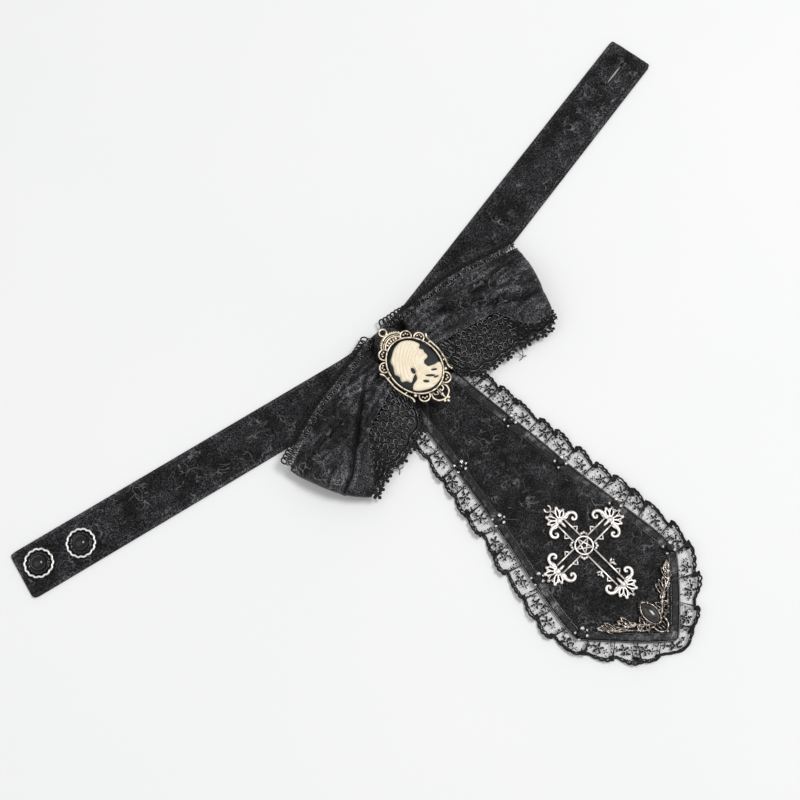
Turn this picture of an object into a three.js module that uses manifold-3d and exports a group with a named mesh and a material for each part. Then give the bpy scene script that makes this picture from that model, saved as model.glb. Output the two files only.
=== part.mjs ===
// Bow jabot collar, unfastened and lying flat: neck band with two buttons and a buttonhole,
// a lace-edged bow with a framed cameo, and a tie-shaped jabot panel with a pleated lace ruffle.
// Millimetres, +Z up from the surface, jabot towards -Y, band arms along +X and -X.
// The origin is on the band's underside at centre front.
import * as THREE from 'three';
import { mergeVertices } from 'three/addons/utils/BufferGeometryUtils.js';
import Module from 'manifold-3d';

const wasm = await Module();
wasm.setup();

// Neck band
const BAND_WIDTH = 25;
const BAND_THICK = 2;
const BAND_HALF_LENGTH = 211.7;
const BAND_CORNER = 2.4;
const BAND_BEND_RADIUS = 150;
const BAND_TILT_LEFT = 11.2;
const BAND_TILT_RIGHT = 10.3;
const BUTTONHOLE_STATION = 195.8;
const BUTTONHOLE_LENGTH = 15;
const BUTTONHOLE_GAP = 1.3;

// Buttons, each by its place along the band and across it
const BUTTONS = [
  { station: -201.1, across: 1 },
  { station: -179.4, across: -1.1 },
];
const BUTTON_RADIUS = 7.5;
const BUTTON_SCALLOPS = 14;
const BUTTON_RIM_HEIGHT = 1.6;

// Bow
const LOOP_CENTRE_Y = -8;
const LOOP_WALL = 1.4;
const LOOP_ROOT = 9.2;
const LOOP_FOLD = 7.5;
const LOOPS = {
  left: {
    side: -1, droop: 20, reach: 76.35, roundness: 0.0082, widest: 11,
    lowest: -18, dropFrom: 38, dropOver: 34, laceFrom: 14.5, laceFar: -19.6,
  },
  right: {
    side: 1, droop: 14.7, reach: 78.75, roundness: 0.004, widest: 10,
    lowest: -15.8, dropFrom: 49, dropOver: 16, laceFrom: 15.5, laceFar: -21.6,
  },
};
const LOOP_FRONT_Z = 9;
const LOOP_BACK_Z = 3.4;
const LOOP_PUFF_Z = 16.2;
const LACE_WALL = 1;
const NARROW_LACE = 5.2;

// Jabot panel and its ruffle
const PANEL_THICK = 2;
const PANEL_TOP_Y = -13;
const PANEL_ROWS = [
  { y: -13, half: 13.5, lean: 0.3 },
  { y: -41, half: 16, lean: 0.2 },
  { y: -83, half: 21.2, lean: -0.2 },
  { y: -107, half: 24.5, lean: -1 },
  { y: -130, half: 28.5, lean: -1.4 },
  { y: -153, half: 32, lean: -1.4 },
  { y: -163, half: 32.4, lean: -1.2 },
  { y: -167.2, half: 30.9, lean: -0.3 },
  { y: -176.6, half: 22.4, lean: 0.4 },
  { y: -186.9, half: 12.2, lean: 0.5 },
  { y: -194.3, half: 3.8, lean: 0.7 },
];
const PANEL_POINT = { x: 0.7, y: -196.6 };
const PANEL_CORNER = { x: 31, y: -166 };
const HEADER_WIDTH = 3.7;
const HEADER_THICK = 0.5;
const RUFFLE_WIDTH = 9.2;
const RUFFLE_CORNER_CUT = 2.2;
const RUFFLE_POINT_CUT = 3.8;
const RUFFLE_CUT_REACH = 9;
const RUFFLE_WALL = 0.9;
const RUFFLE_PLEAT = 11.8;
const PLEAT_STEPS = 3;
const RUFFLE_START_Y = -29;

// Cameo
const CAMEO_Y = -15.9;
const CAMEO_Z = 12.2;
const BEZEL_HALF = { x: 13.4, y: 16.3 };
const PLAQUE_HALF = { x: 12.3, y: 15.2 };

// Cross charm and corner filigree
const CROSS_Y = -135.3;
const CROSS_Z = 2.2;
const CROSS_RAIL = 2.25;
const CROSS_TURN = 1;
const PALMETTE_LENGTH = 7.4;
const PALMETTE_PETALS = [
  { turn: 0, long: 7 },
  { turn: 33, long: 6.4 },
  { turn: -33, long: 6.4 },
  { turn: 68, long: 5.2 },
  { turn: -68, long: 5.2 },
];
const CORNER_Y = -179.4;
const CORNER_Z = 2.75;
const FILIGREE_LEAVES = [
  { x: 6, y: -0.4, long: 2.4, wide: 1.1, turn: 110 },
  { x: 5.8, y: -4.2, long: 2, wide: 1, turn: -62 },
  { x: 8.5, y: -1.2, long: 2.2, wide: 1.1, turn: -55 },
  { x: 11.6, y: 4.8, long: 3.6, wide: 1.6, turn: 80 },
  { x: 14.6, y: 5.4, long: 3, wide: 1.3, turn: 55 },
  { x: 18.8, y: 8.4, long: 3.6, wide: 1.5, turn: 72 },
  { x: 21.8, y: 10.2, long: 2.6, wide: 1.3, turn: 55 },
];

// Seam beads: height down the panel, and distance inside the hem
const BEAD_RADIUS = 2.1;
const BEAD_ROWS = [-66.7, -98.5, -131.5, -164];
const BEAD_INSET = 2.1;

// Smallest step kept where cast pieces are joined
const FINEST_STEP = 0.16;

const RAD = Math.PI / 180;
const point3 = (x, y, z = 0) => new THREE.Vector3(x, y, z);
const mix = (a, b, t) => a + (b - a) * t;
const clamp01 = (t) => Math.min(1, Math.max(0, t));
const ease = (t) => clamp01(t) ** 2 * (3 - 2 * clamp01(t));

const LOOKS = {
  velvet: { color: 0x1b1b1d, roughness: 0.85, metalness: 0 },
  lace: { color: 0x101012, roughness: 0.8, metalness: 0 },
  net: { color: 0x3a3a3d, roughness: 0.85, metalness: 0 },
  gold: { color: 0xbfae88, roughness: 0.35, metalness: 1 },
  silver: { color: 0xd8d3cc, roughness: 0.3, metalness: 1 },
  bronze: { color: 0x7d6e66, roughness: 0.35, metalness: 1 },
  ivory: { color: 0xe9dcc0, roughness: 0.5, metalness: 0 },
  black: { color: 0x0c0c0e, roughness: 0.25, metalness: 0 },
  smoke: { color: 0x4a4844, roughness: 0.1, metalness: 0 },
};

// Sections of cast bars, as shares of their width and height
const SQUARE_SECTION = [[0.5, 0.5], [-0.5, 0.5], [-0.5, -0.5], [0.5, -0.5]];
const RIDGE_SECTION = [[0, 0.5], [-0.5, -0.5], [0.5, -0.5]];

const group = new THREE.Group();
group.name = 'bow_jabot_collar';

function add(name, geometry, look) {
  const mesh = new THREE.Mesh(geometry, new THREE.MeshStandardMaterial(LOOKS[look]));
  mesh.name = name;
  group.add(mesh);
}

function welded(geometry) {
  const plain = geometry.index ? geometry.toNonIndexed() : geometry.clone();
  plain.deleteAttribute('normal');
  plain.deleteAttribute('uv');
  return mergeVertices(plain, 1e-4);
}

function toManifold(geometry) {
  const plain = welded(geometry);
  return new wasm.Manifold(new wasm.Mesh({
    numProp: 3,
    vertProperties: new Float32Array(plain.attributes.position.array),
    triVerts: new Uint32Array(plain.index.array),
  }));
}

function fromManifold(solid) {
  const mesh = solid.getMesh();
  const geometry = new THREE.BufferGeometry();
  geometry.setAttribute('position', new THREE.Float32BufferAttribute(mesh.vertProperties, 3));
  geometry.setIndex(new THREE.Uint32BufferAttribute(mesh.triVerts, 1));
  return geometry;
}

function fuse(pieces) {
  const whole = pieces.map(toManifold).reduce((sum, next) => sum.add(next));
  return fromManifold(whole.simplify(FINEST_STEP));
}

// A surface point(u, v) given a thickness; cells for which keep(i, j) is false are cut through.
function sheetSolid(point, nu, nv, wall, keep = () => true) {
  const step = 1e-3;
  const positions = [];
  const corner = (i, j, side) => {
    const u = i / nu;
    const v = j / nv;
    const alongU = point(Math.min(1, u + step), v).sub(point(Math.max(0, u - step), v));
    const alongV = point(u, Math.min(1, v + step)).sub(point(u, Math.max(0, v - step)));
    const normal = alongU.cross(alongV).normalize();
    return point(u, v).addScaledVector(normal, side * wall / 2);
  };
  for (const side of [1, -1]) {
    for (let i = 0; i <= nu; i++) {
      for (let j = 0; j <= nv; j++) {
        positions.push(...corner(i, j, side).toArray());
      }
    }
  }
  const under = (nu + 1) * (nv + 1);
  const id = (i, j) => i * (nv + 1) + j;
  const kept = (i, j) => i >= 0 && j >= 0 && i < nu && j < nv && keep(i, j);
  const index = [];
  const edge = (a, b) => index.push(b, a, a + under, b, a + under, b + under);
  for (let i = 0; i < nu; i++) {
    for (let j = 0; j < nv; j++) {
      if (!kept(i, j)) continue;
      const [a, b, c, d] = [id(i, j), id(i + 1, j), id(i + 1, j + 1), id(i, j + 1)];
      index.push(a, b, c, a, c, d);
      index.push(a + under, c + under, b + under, a + under, d + under, c + under);
      if (!kept(i, j - 1)) edge(a, b);
      if (!kept(i + 1, j)) edge(b, c);
      if (!kept(i, j + 1)) edge(c, d);
      if (!kept(i - 1, j)) edge(d, a);
    }
  }
  const geometry = new THREE.BufferGeometry();
  geometry.setAttribute('position', new THREE.Float32BufferAttribute(positions, 3));
  geometry.setIndex(index);
  return geometry;
}

// A bar of the given section along a path in a level plane, its middle at height z.
function bar(section, path, width, height, z, closed = false) {
  const count = path.length;
  const sides = section.length;
  const positions = [];
  const index = [];
  for (let i = 0; i < count; i++) {
    const before = closed ? path[(i + count - 1) % count] : path[Math.max(0, i - 1)];
    const after = closed ? path[(i + 1) % count] : path[Math.min(count - 1, i + 1)];
    const along = after.clone().sub(before).setZ(0).normalize();
    for (const [across, up] of section) {
      const out = across * width;
      positions.push(path[i].x + along.y * out, path[i].y - along.x * out, z + up * height);
    }
  }
  const rings = closed ? count : count - 1;
  for (let i = 0; i < rings; i++) {
    for (let k = 0; k < sides; k++) {
      const next = (k + 1) % sides;
      const a = i * sides + k;
      const b = i * sides + next;
      const c = ((i + 1) % count) * sides + next;
      const d = ((i + 1) % count) * sides + k;
      index.push(a, c, b, a, d, c);
    }
  }
  if (!closed) {
    for (let k = 1; k < sides - 1; k++) {
      index.push(0, k, k + 1);
      const last = (count - 1) * sides;
      index.push(last, last + k + 1, last + k);
    }
  }
  const geometry = new THREE.BufferGeometry();
  geometry.setAttribute('position', new THREE.Float32BufferAttribute(positions, 3));
  geometry.setIndex(index);
  return geometry;
}

function wire(path, width, height, z, closed) {
  return bar(SQUARE_SECTION, path, width, height, z, closed);
}

function ridge(path, width, height, z, closed) {
  return bar(RIDGE_SECTION, path, width, height, z, closed);
}

function arcPath(cx, cy, radius, fromDeg, toDeg, steps, radiusEnd = radius) {
  const path = [];
  for (let k = 0; k <= steps; k++) {
    const turn = mix(fromDeg, toDeg, k / steps) * RAD;
    const reach = mix(radius, radiusEnd, k / steps);
    path.push(point3(cx + reach * Math.cos(turn), cy + reach * Math.sin(turn)));
  }
  return path;
}

function ovalPath(cx, cy, rx, ry, steps) {
  const path = [];
  for (let k = 0; k < steps; k++) {
    const turn = k / steps * 2 * Math.PI;
    path.push(point3(cx + rx * Math.cos(turn), cy + ry * Math.sin(turn)));
  }
  return path;
}

function smoothPath(points, steps) {
  const curve = new THREE.CatmullRomCurve3(points.map(([x, y]) => point3(x, y)), false, 'centripetal');
  return curve.getSpacedPoints(steps);
}

function blob(x, y, z, rx, ry, rz, turnDeg = 0, across = 8, rows = 5) {
  const geometry = new THREE.SphereGeometry(1, across, rows);
  geometry.scale(rx, ry, rz);
  geometry.rotateZ(turnDeg * RAD);
  geometry.translate(x, y, z);
  return geometry;
}

function mirrored(path) {
  return path.map((p) => point3(-p.x, p.y, p.z));
}

// The band's centre line: a shallow bend at centre front, then two straight arms.
function bandFrame(station) {
  const tilt = (station < 0 ? BAND_TILT_LEFT : BAND_TILT_RIGHT) * RAD;
  const bend = Math.min(Math.abs(station), BAND_BEND_RADIUS * tilt);
  const angle = bend / BAND_BEND_RADIUS;
  const rest = Math.abs(station) - bend;
  const x = BAND_BEND_RADIUS * Math.sin(angle) + rest * Math.cos(angle);
  const y = BAND_BEND_RADIUS * (1 - Math.cos(angle)) + rest * Math.sin(angle);
  const side = Math.sign(station) || 1;
  return { x: side * x, y, angle: side * angle };
}

function bandPoint(station, across) {
  const frame = bandFrame(station);
  return point3(frame.x - across * Math.sin(frame.angle), frame.y + across * Math.cos(frame.angle));
}

function neckBand() {
  const half = BAND_WIDTH / 2;
  const inner = BAND_HALF_LENGTH - BAND_CORNER;
  const cut = 0.3 * BAND_CORNER;
  const stations = [-inner, -120, -28, -21, -14, -7, 0, 7, 14, 21, 28, 120, inner];
  const upperSide = [
    [-BAND_HALF_LENGTH, half - BAND_CORNER], [cut - BAND_HALF_LENGTH, half - cut],
    ...stations.map((s) => [s, half]),
    [BAND_HALF_LENGTH - cut, half - cut], [BAND_HALF_LENGTH, half - BAND_CORNER],
  ];
  const lowerSide = upperSide.map(([s, across]) => [s, -across]).reverse();
  const outline = [...upperSide, ...lowerSide].map(([s, across]) => bandPoint(s, across));
  const shape = new THREE.Shape(outline.map((p) => new THREE.Vector2(p.x, p.y)));
  const slit = arcSlot(BUTTONHOLE_LENGTH / 2, BUTTONHOLE_GAP / 2);
  shape.holes.push(new THREE.Path(slit.map(([s, across]) => {
    const p = bandPoint(BUTTONHOLE_STATION + s, across);
    return new THREE.Vector2(p.x, p.y);
  })));
  const cloth = new THREE.ExtrudeGeometry(shape, {
    depth: BAND_THICK - 0.8, bevelEnabled: true, bevelThickness: 0.4, bevelSize: 0.35,
    bevelOffset: -0.35, bevelSegments: 1,
  });
  cloth.translate(0, 0, 0.4);
  const lip = arcSlot(BUTTONHOLE_LENGTH / 2 + 0.9, BUTTONHOLE_GAP / 2 + 0.9);
  const lipPath = lip.map(([s, across]) => bandPoint(BUTTONHOLE_STATION + s, across));
  return fuse([cloth, wire(lipPath, 1.3, 0.7, BAND_THICK, true)]);
}

function arcSlot(halfLength, halfGap) {
  const flat = halfLength - halfGap;
  return [
    [-halfLength, 0], [-flat, -halfGap], [0, -halfGap * 1.15], [flat, -halfGap],
    [halfLength, 0], [flat, halfGap], [0, halfGap * 1.15], [-flat, halfGap],
  ];
}

// Scalloped metal rim with a black domed centre of petals.
function buttonRim() {
  const steps = BUTTON_SCALLOPS * 2;
  const shape = new THREE.Shape();
  for (let k = 0; k < steps; k++) {
    const turn = k / steps * 2 * Math.PI;
    const reach = k % 2 ? BUTTON_RADIUS : BUTTON_RADIUS - 0.8;
    const place = [reach * Math.cos(turn), reach * Math.sin(turn)];
    if (k === 0) shape.moveTo(...place);
    else shape.lineTo(...place);
  }
  shape.closePath();
  const hole = new THREE.Path();
  hole.absarc(0, 0, BUTTON_RADIUS - 1.9, 0, 2 * Math.PI, true);
  shape.holes.push(hole);
  return new THREE.ExtrudeGeometry(shape, {
    depth: BUTTON_RIM_HEIGHT, bevelEnabled: false, curveSegments: 12,
  });
}

function buttonCentre() {
  const outer = BUTTON_RADIUS - 2.1;
  const profile = [
    [0, 0], [outer - 0.4, 0], [outer, 1.3], [4.3, 2.2], [3.8, 1.9], [3.2, 3.2], [1.8, 4.2], [0, 4.5],
  ];
  const cup = new THREE.LatheGeometry(profile.map(([r, z]) => new THREE.Vector2(r, z)), 11);
  cup.rotateX(Math.PI / 2);
  return cup;
}

function addButtons() {
  BUTTONS.forEach(({ station, across }, k) => {
    const place = bandPoint(station, across);
    const rim = buttonRim();
    rim.translate(place.x, place.y, BAND_THICK + 0.3);
    add(`button_rim_${k + 1}`, welded(rim), 'silver');
    const centre = buttonCentre();
    centre.translate(place.x, place.y, BAND_THICK + 0.3);
    add(`button_centre_${k + 1}`, welded(centre), 'black');
  });
}

// Edges of the bow's velvet, as distances across the loop at a distance r from its centre.
function velvetUpper(r) {
  return mix(18, 23, ease((r - 6) / 44));
}

function velvetLower(loop, r) {
  return mix(-2.2, loop.lowest, ease((r - loop.dropFrom) / loop.dropOver));
}

function lacePlace(loop, r, w, z) {
  const droop = loop.droop * RAD;
  const x = loop.side * (r * Math.cos(droop) + w * Math.sin(droop));
  const y = LOOP_CENTRE_Y - r * Math.sin(droop) + w * Math.cos(droop);
  return point3(x, y, z);
}

function frontHeight(loop, r, w) {
  const rise = mix(LOOP_FRONT_Z, LOOP_PUFF_Z, ease((r - 8) / 48));
  const gather = 0.9 * Math.sin(w * 0.95 + loop.side) * Math.exp(-(r - 8) / 16);
  const creaseAt = mix(12, -6, clamp01((r - 19) / 49)) + (loop.side > 0 ? 3 : 0);
  const crease = -2.6 * Math.exp(-(((w - creaseAt) / 3.4) ** 2)) * ease((r - 10) / 20);
  const secondAt = mix(6, 17, clamp01((r - 20) / 45));
  const second = -1.6 * Math.exp(-(((w - secondAt) / 3) ** 2)) * ease((r - 16) / 25);
  return rise + gather + crease + second;
}

// The fold at the loop's end is rounded, so the loop reaches less far towards its corners.
function foldStart(loop, v) {
  const across = mix(loop.lowest, 23, v) - loop.widest;
  return loop.reach - loop.roundness * across ** 2 - LOOP_FOLD;
}

// One bow loop: the front layer runs out, turns over at the fold, and the back layer returns.
function loopPoint(loop, u, v) {
  const turnStart = foldStart(loop, v);
  const front = 0.56;
  const back = 0.74;
  let r;
  let height;
  if (u < front) {
    r = mix(LOOP_ROOT, turnStart, u / front);
    height = null;
  } else if (u < back) {
    const turn = (u - front) / (back - front) * Math.PI;
    r = turnStart + LOOP_FOLD * Math.sin(turn);
    height = (1 - Math.cos(turn)) / 2;
  } else {
    r = mix(turnStart, LOOP_ROOT, (u - back) / (1 - back));
    height = 1;
  }
  const w = mix(velvetLower(loop, r), velvetUpper(r), v);
  const top = frontHeight(loop, Math.min(r, turnStart), w);
  const slump = 1 - 0.35 * (2 * v - 1) ** 2 * ease((r - 20) / 40);
  const z = mix(LOOP_BACK_Z + (top - LOOP_BACK_Z) * slump, LOOP_BACK_Z, height ?? 0);
  return lacePlace(loop, r, w, z);
}

function loopEdgeHeight(loop, r, v) {
  const span = clamp01((r - LOOP_ROOT) / (foldStart(loop, v) - LOOP_ROOT)) * 0.56;
  return loopPoint(loop, span, v).z;
}

function oriented(loop, surface) {
  return loop.side > 0 ? surface : (u, v) => surface(u, 1 - v);
}

function bowLoop(loop) {
  return sheetSolid(oriented(loop, (u, v) => loopPoint(loop, u, v)), 20, 6, LOOP_WALL);
}

// Narrow picot trim along the loop's upper edge.
function upperLace(loop) {
  const surface = (u, v) => {
    const r = mix(4, foldStart(loop, 1) + LOOP_FOLD - 0.6, u);
    const picot = 0.7 * Math.abs(Math.sin(u * 10 * Math.PI));
    const w = velvetUpper(r) + 1 + v * (NARROW_LACE + picot - 0.7);
    const edge = loopEdgeHeight(loop, r, 1);
    return lacePlace(loop, r, w, mix(edge, Math.max(3.4, edge - 2.4), v));
  };
  const keep = (i, j) => !(j === 0 && i % 4 === 2);
  return sheetSolid(oriented(loop, surface), 20, 2, LACE_WALL,
    loop.side > 0 ? keep : (i, j) => keep(i, 1 - j));
}

// Wide guipure lace below the velvet, open between its motifs and scalloped at the outer edge.
function lowerLace(loop) {
  const rows = 4;
  const surface = (u, v) => {
    const r = mix(loop.laceFrom, foldStart(loop, 0) + LOOP_FOLD - 1, u);
    const scallop = 1.3 * Math.abs(Math.sin(u * 6 * Math.PI));
    const widening = ease((r - loop.laceFrom) / 12);
    const outer = mix(-14, mix(-24.6, loop.laceFar, ease((r - 42) / 12)), widening) - scallop;
    const w = mix(outer, velvetLower(loop, r) - 1.1, v);
    const edge = loopEdgeHeight(loop, r, 0);
    return lacePlace(loop, r, w, mix(4.6, edge, v ** 1.3));
  };
  const keep = (i, j) => !((j === 1 && i % 4 === 1) || (j === 2 && i % 4 === 3 && i < 12));
  return sheetSolid(oriented(loop, surface), 19, rows, LACE_WALL,
    loop.side > 0 ? keep : (i, j) => keep(i, rows - 1 - j));
}

// Gathered middle of the bow, pinched flat under the cameo.
function bowCentre() {
  const steps = 16;
  const shape = new THREE.Shape();
  for (let k = 0; k < steps; k++) {
    const turn = k / steps * 2 * Math.PI;
    const place = [8.1 * Math.cos(turn), -0.5 + 11 * Math.sin(turn)];
    if (k === 0) shape.moveTo(...place);
    else shape.lineTo(...place);
  }
  shape.closePath();
  const block = new THREE.ExtrudeGeometry(shape, {
    depth: 5.6, bevelEnabled: true, bevelThickness: 1.8, bevelSize: 1.6, bevelOffset: -1.6, bevelSegments: 2,
  });
  block.translate(0, 0, 4.2);
  return welded(block);
}

// The panel's hem as one smooth curve: down the left side, round the point, up the right.
function hemCurve(startY) {
  const rows = [panelRow(startY), ...PANEL_ROWS.filter((row) => row.y < startY)];
  const left = rows.map((row) => point3(row.lean - row.half, row.y));
  const right = rows.map((row) => point3(row.lean + row.half, row.y)).reverse();
  const points = [...left, point3(PANEL_POINT.x, PANEL_POINT.y), ...right];
  return new THREE.CatmullRomCurve3(points, false, 'centripetal');
}

// The panel's half width, and how far its middle leans to one side, at a height down it.
function panelRow(y) {
  const next = Math.max(1, PANEL_ROWS.findIndex((row) => y >= row.y));
  const above = PANEL_ROWS[next - 1];
  const below = PANEL_ROWS[next];
  const share = (y - above.y) / (below.y - above.y);
  return { y, half: mix(above.half, below.half, share), lean: mix(above.lean, below.lean, share) };
}

function hemPoint(curve, u, outward, z) {
  const place = curve.getPointAt(u);
  const along = curve.getTangentAt(u);
  return point3(place.x + along.y * outward, place.y - along.x * outward, z);
}

function jabotPanel() {
  const curve = hemCurve(PANEL_TOP_Y);
  const outline = curve.getSpacedPoints(42).map((p) => new THREE.Vector2(p.x, p.y));
  const geometry = new THREE.ExtrudeGeometry(new THREE.Shape(outline), {
    depth: PANEL_THICK - 0.7, bevelEnabled: true, bevelThickness: 0.35, bevelSize: 0.35,
    bevelOffset: -0.35, bevelSegments: 1,
  });
  geometry.translate(0, 0, 0.35);
  return welded(geometry);
}

function ruffleHeader() {
  const curve = hemCurve(RUFFLE_START_Y);
  const z = PANEL_THICK + 0.1 + HEADER_THICK / 2;
  const surface = (u, v) => hemPoint(curve, u, -0.5 - (1 - v) * (HEADER_WIDTH - 0.5), z);
  return sheetSolid(surface, 42, 1, HEADER_THICK);
}

// Knife pleats: each rises slowly over three quarters of its length, then drops under the next.
function pleatAt(step) {
  const started = Math.floor(step / PLEAT_STEPS);
  const share = step / PLEAT_STEPS - started;
  const rising = (PLEAT_STEPS - 1) / PLEAT_STEPS;
  if (share < rising) return { along: started + 0.75 * share / rising, lift: share / rising };
  const drop = (share - rising) * PLEAT_STEPS;
  return { along: started + 0.75 + 0.25 * drop, lift: 1 - drop };
}

// The gathered lace is drawn in where it turns the panel's corners and point.
function ruffleWidth(place) {
  const toCorner = Math.hypot(Math.abs(place.x) - PANEL_CORNER.x, place.y - PANEL_CORNER.y);
  const toPoint = Math.hypot(place.x - PANEL_POINT.x, place.y - PANEL_POINT.y);
  const nearCorner = Math.exp(-((toCorner / RUFFLE_CUT_REACH) ** 2));
  const nearPoint = Math.exp(-((toPoint / RUFFLE_CUT_REACH) ** 2));
  return RUFFLE_WIDTH - RUFFLE_CORNER_CUT * nearCorner - RUFFLE_POINT_CUT * nearPoint;
}

function laceRuffle() {
  const curve = hemCurve(RUFFLE_START_Y);
  const pleats = Math.round(curve.getLength() / RUFFLE_PLEAT);
  const surface = (u, v) => {
    const { along, lift } = pleatAt(u * pleats * PLEAT_STEPS);
    const run = Math.min(1, along / pleats);
    const wide = ruffleWidth(curve.getPointAt(run)) + 0.5 * lift;
    const z = mix(0.9 + 0.7 * lift, 0.7 + 3.2 * lift, v);
    return hemPoint(curve, run, 0.85 + v * wide, z);
  };
  return sheetSolid(surface, pleats * PLEAT_STEPS, 1, RUFFLE_WALL);
}

function addBeads() {
  let number = 1;
  for (const side of [-1, 1]) {
    for (const y of BEAD_ROWS) {
      const row = panelRow(y);
      const x = row.lean + side * (row.half - BEAD_INSET);
      const z = PANEL_THICK + 0.8 + BEAD_RADIUS;
      const bead = blob(x, y, z, BEAD_RADIUS, BEAD_RADIUS, BEAD_RADIUS, 0, 8, 4);
      add(`seam_bead_${number}`, welded(bead), 'black');
      number += 1;
    }
  }
}

// A place just outside the bezel's middle line, in the direction given, and the way it faces.
function bezelPlace(directionDeg, outward) {
  const rx = BEZEL_HALF.x - 0.65;
  const ry = BEZEL_HALF.y - 0.65;
  const turn = Math.atan2(Math.sin(directionDeg * RAD) / ry, Math.cos(directionDeg * RAD) / rx);
  const facing = Math.atan2(Math.sin(turn) / ry, Math.cos(turn) / rx);
  return {
    x: rx * Math.cos(turn) + outward * Math.cos(facing),
    y: ry * Math.sin(turn) + outward * Math.sin(facing),
    facing: facing / RAD,
  };
}

// Cast oval frame: ring lug, beaded crest, beaded loops, side rails and a pointed foot.
function cameoFrame() {
  const z = 0.8;
  const pieces = [
    wire(ovalPath(0, 0, BEZEL_HALF.x - 0.6, BEZEL_HALF.y - 0.6, 32), 1.4, 2.4, 1.1, true),
    wire(ovalPath(0, 23.2, 1.85, 1.85, 10), 1, 1.1, z, true),
    ridge(arcPath(0, 13.3, 7.4, 28, 152, 8), 1, 1.3, z),
    ridge(arcPath(0, 13.3, 5.4, 20, 160, 6), 0.9, 1.1, z),
  ];
  for (let k = 0; k < 7; k++) {
    const turn = mix(44, 136, k / 6) * RAD;
    pieces.push(blob(7.4 * Math.cos(turn), 13.3 + 7.4 * Math.sin(turn), z, 0.8, 0.8, 0.9, 0, 4, 2));
  }
  for (const x of [-2.1, 0, 2.1]) {
    pieces.push(blob(x, 17.1 - Math.abs(x) * 0.12, z, 1, 1.3, 0.8, 0, 4, 2));
  }
  for (const loop of [{ at: 64, radius: 2.7 }, { at: 40, radius: 2.5 }, { at: -65, radius: 2.7 }]) {
    const root = bezelPlace(loop.at, 1.1);
    const path = arcPath(root.x, root.y, loop.radius, root.facing - 125, root.facing + 125, 6);
    for (const side of [1, -1]) {
      pieces.push(ridge(side > 0 ? path : mirrored(path), 1.1, 1.4, z));
      pieces.push(blob(side * root.x, root.y, z, 1.25, 1.25, 0.9, 0, 4, 2));
    }
  }
  const knob = bezelPlace(-49, 1);
  const rail = smoothPath([[15.5, 8.6], [14.4, 6.6], [14.6, 0], [13.6, -7], [12.2, -11.4], [12.7, -13.6]], 7);
  const foot = smoothPath([[3.6, -15.8], [4.4, -18.4], [3.2, -21], [0, -22.6]], 5);
  for (const side of [1, -1]) {
    pieces.push(ridge(side > 0 ? rail : mirrored(rail), 1.1, 1.5, z));
    pieces.push(ridge(side > 0 ? foot : mirrored(foot), 1.1, 1.4, z));
    pieces.push(blob(side * knob.x, knob.y, z, 1, 1, 0.9, 0, 5, 2));
    pieces.push(blob(side * 1.3, -23, z, 0.95, 0.85, 0.8, 0, 5, 2));
    pieces.push(ridge([point3(side * 14.5, 4), point3(side * 12.3, 4.4)], 1, 1.2, z));
    pieces.push(ridge([point3(side * 13.6, -7), point3(side * 11.2, -7.6)], 1, 1.2, z));
  }
  pieces.push(ridge([point3(0, -15.4), point3(0, -24)], 1.1, 1.3, z));
  pieces.push(blob(0, -18.8, z, 1.3, 1.5, 0.95, 0, 5, 2));
  pieces.push(blob(0, -24.1, z, 0.9, 1, 0.85, 0, 5, 2));
  pieces.push(wire([point3(0, 19.6), point3(0, 21.9)], 1.5, 1.2, z));
  return fuse(pieces);
}

function ovalDome(rx, ry, height) {
  const profile = [[0, 0], [1, 0], [1, 0.5], [0.9, 0.8], [0.6, 0.95], [0, 1]];
  const dome = new THREE.LatheGeometry(profile.map(([r, z]) => new THREE.Vector2(r, z * height)), 26);
  dome.rotateX(Math.PI / 2);
  dome.scale(rx, ry, 1);
  return dome;
}

function extruded(points, steps, depth, z, holes = []) {
  const curve = new THREE.CatmullRomCurve3(points.map(([x, y]) => point3(x, y)), true, 'centripetal');
  const outline = curve.getSpacedPoints(steps).slice(0, -1);
  const shape = new THREE.Shape(outline.map((p) => new THREE.Vector2(p.x, p.y)));
  for (const slot of holes) {
    const path = arcPath(slot.x, slot.y, 1, 0, 300, 5).map((p) => {
      const dx = (p.x - slot.x) * slot.long;
      const dy = (p.y - slot.y) * slot.wide;
      const turn = slot.turn * RAD;
      return new THREE.Vector2(
        slot.x + dx * Math.cos(turn) - dy * Math.sin(turn),
        slot.y + dx * Math.sin(turn) + dy * Math.cos(turn),
      );
    });
    shape.holes.push(new THREE.Path(path));
  }
  const geometry = new THREE.ExtrudeGeometry(shape, { depth, bevelEnabled: false });
  geometry.translate(0, 0, z);
  return geometry;
}

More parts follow.
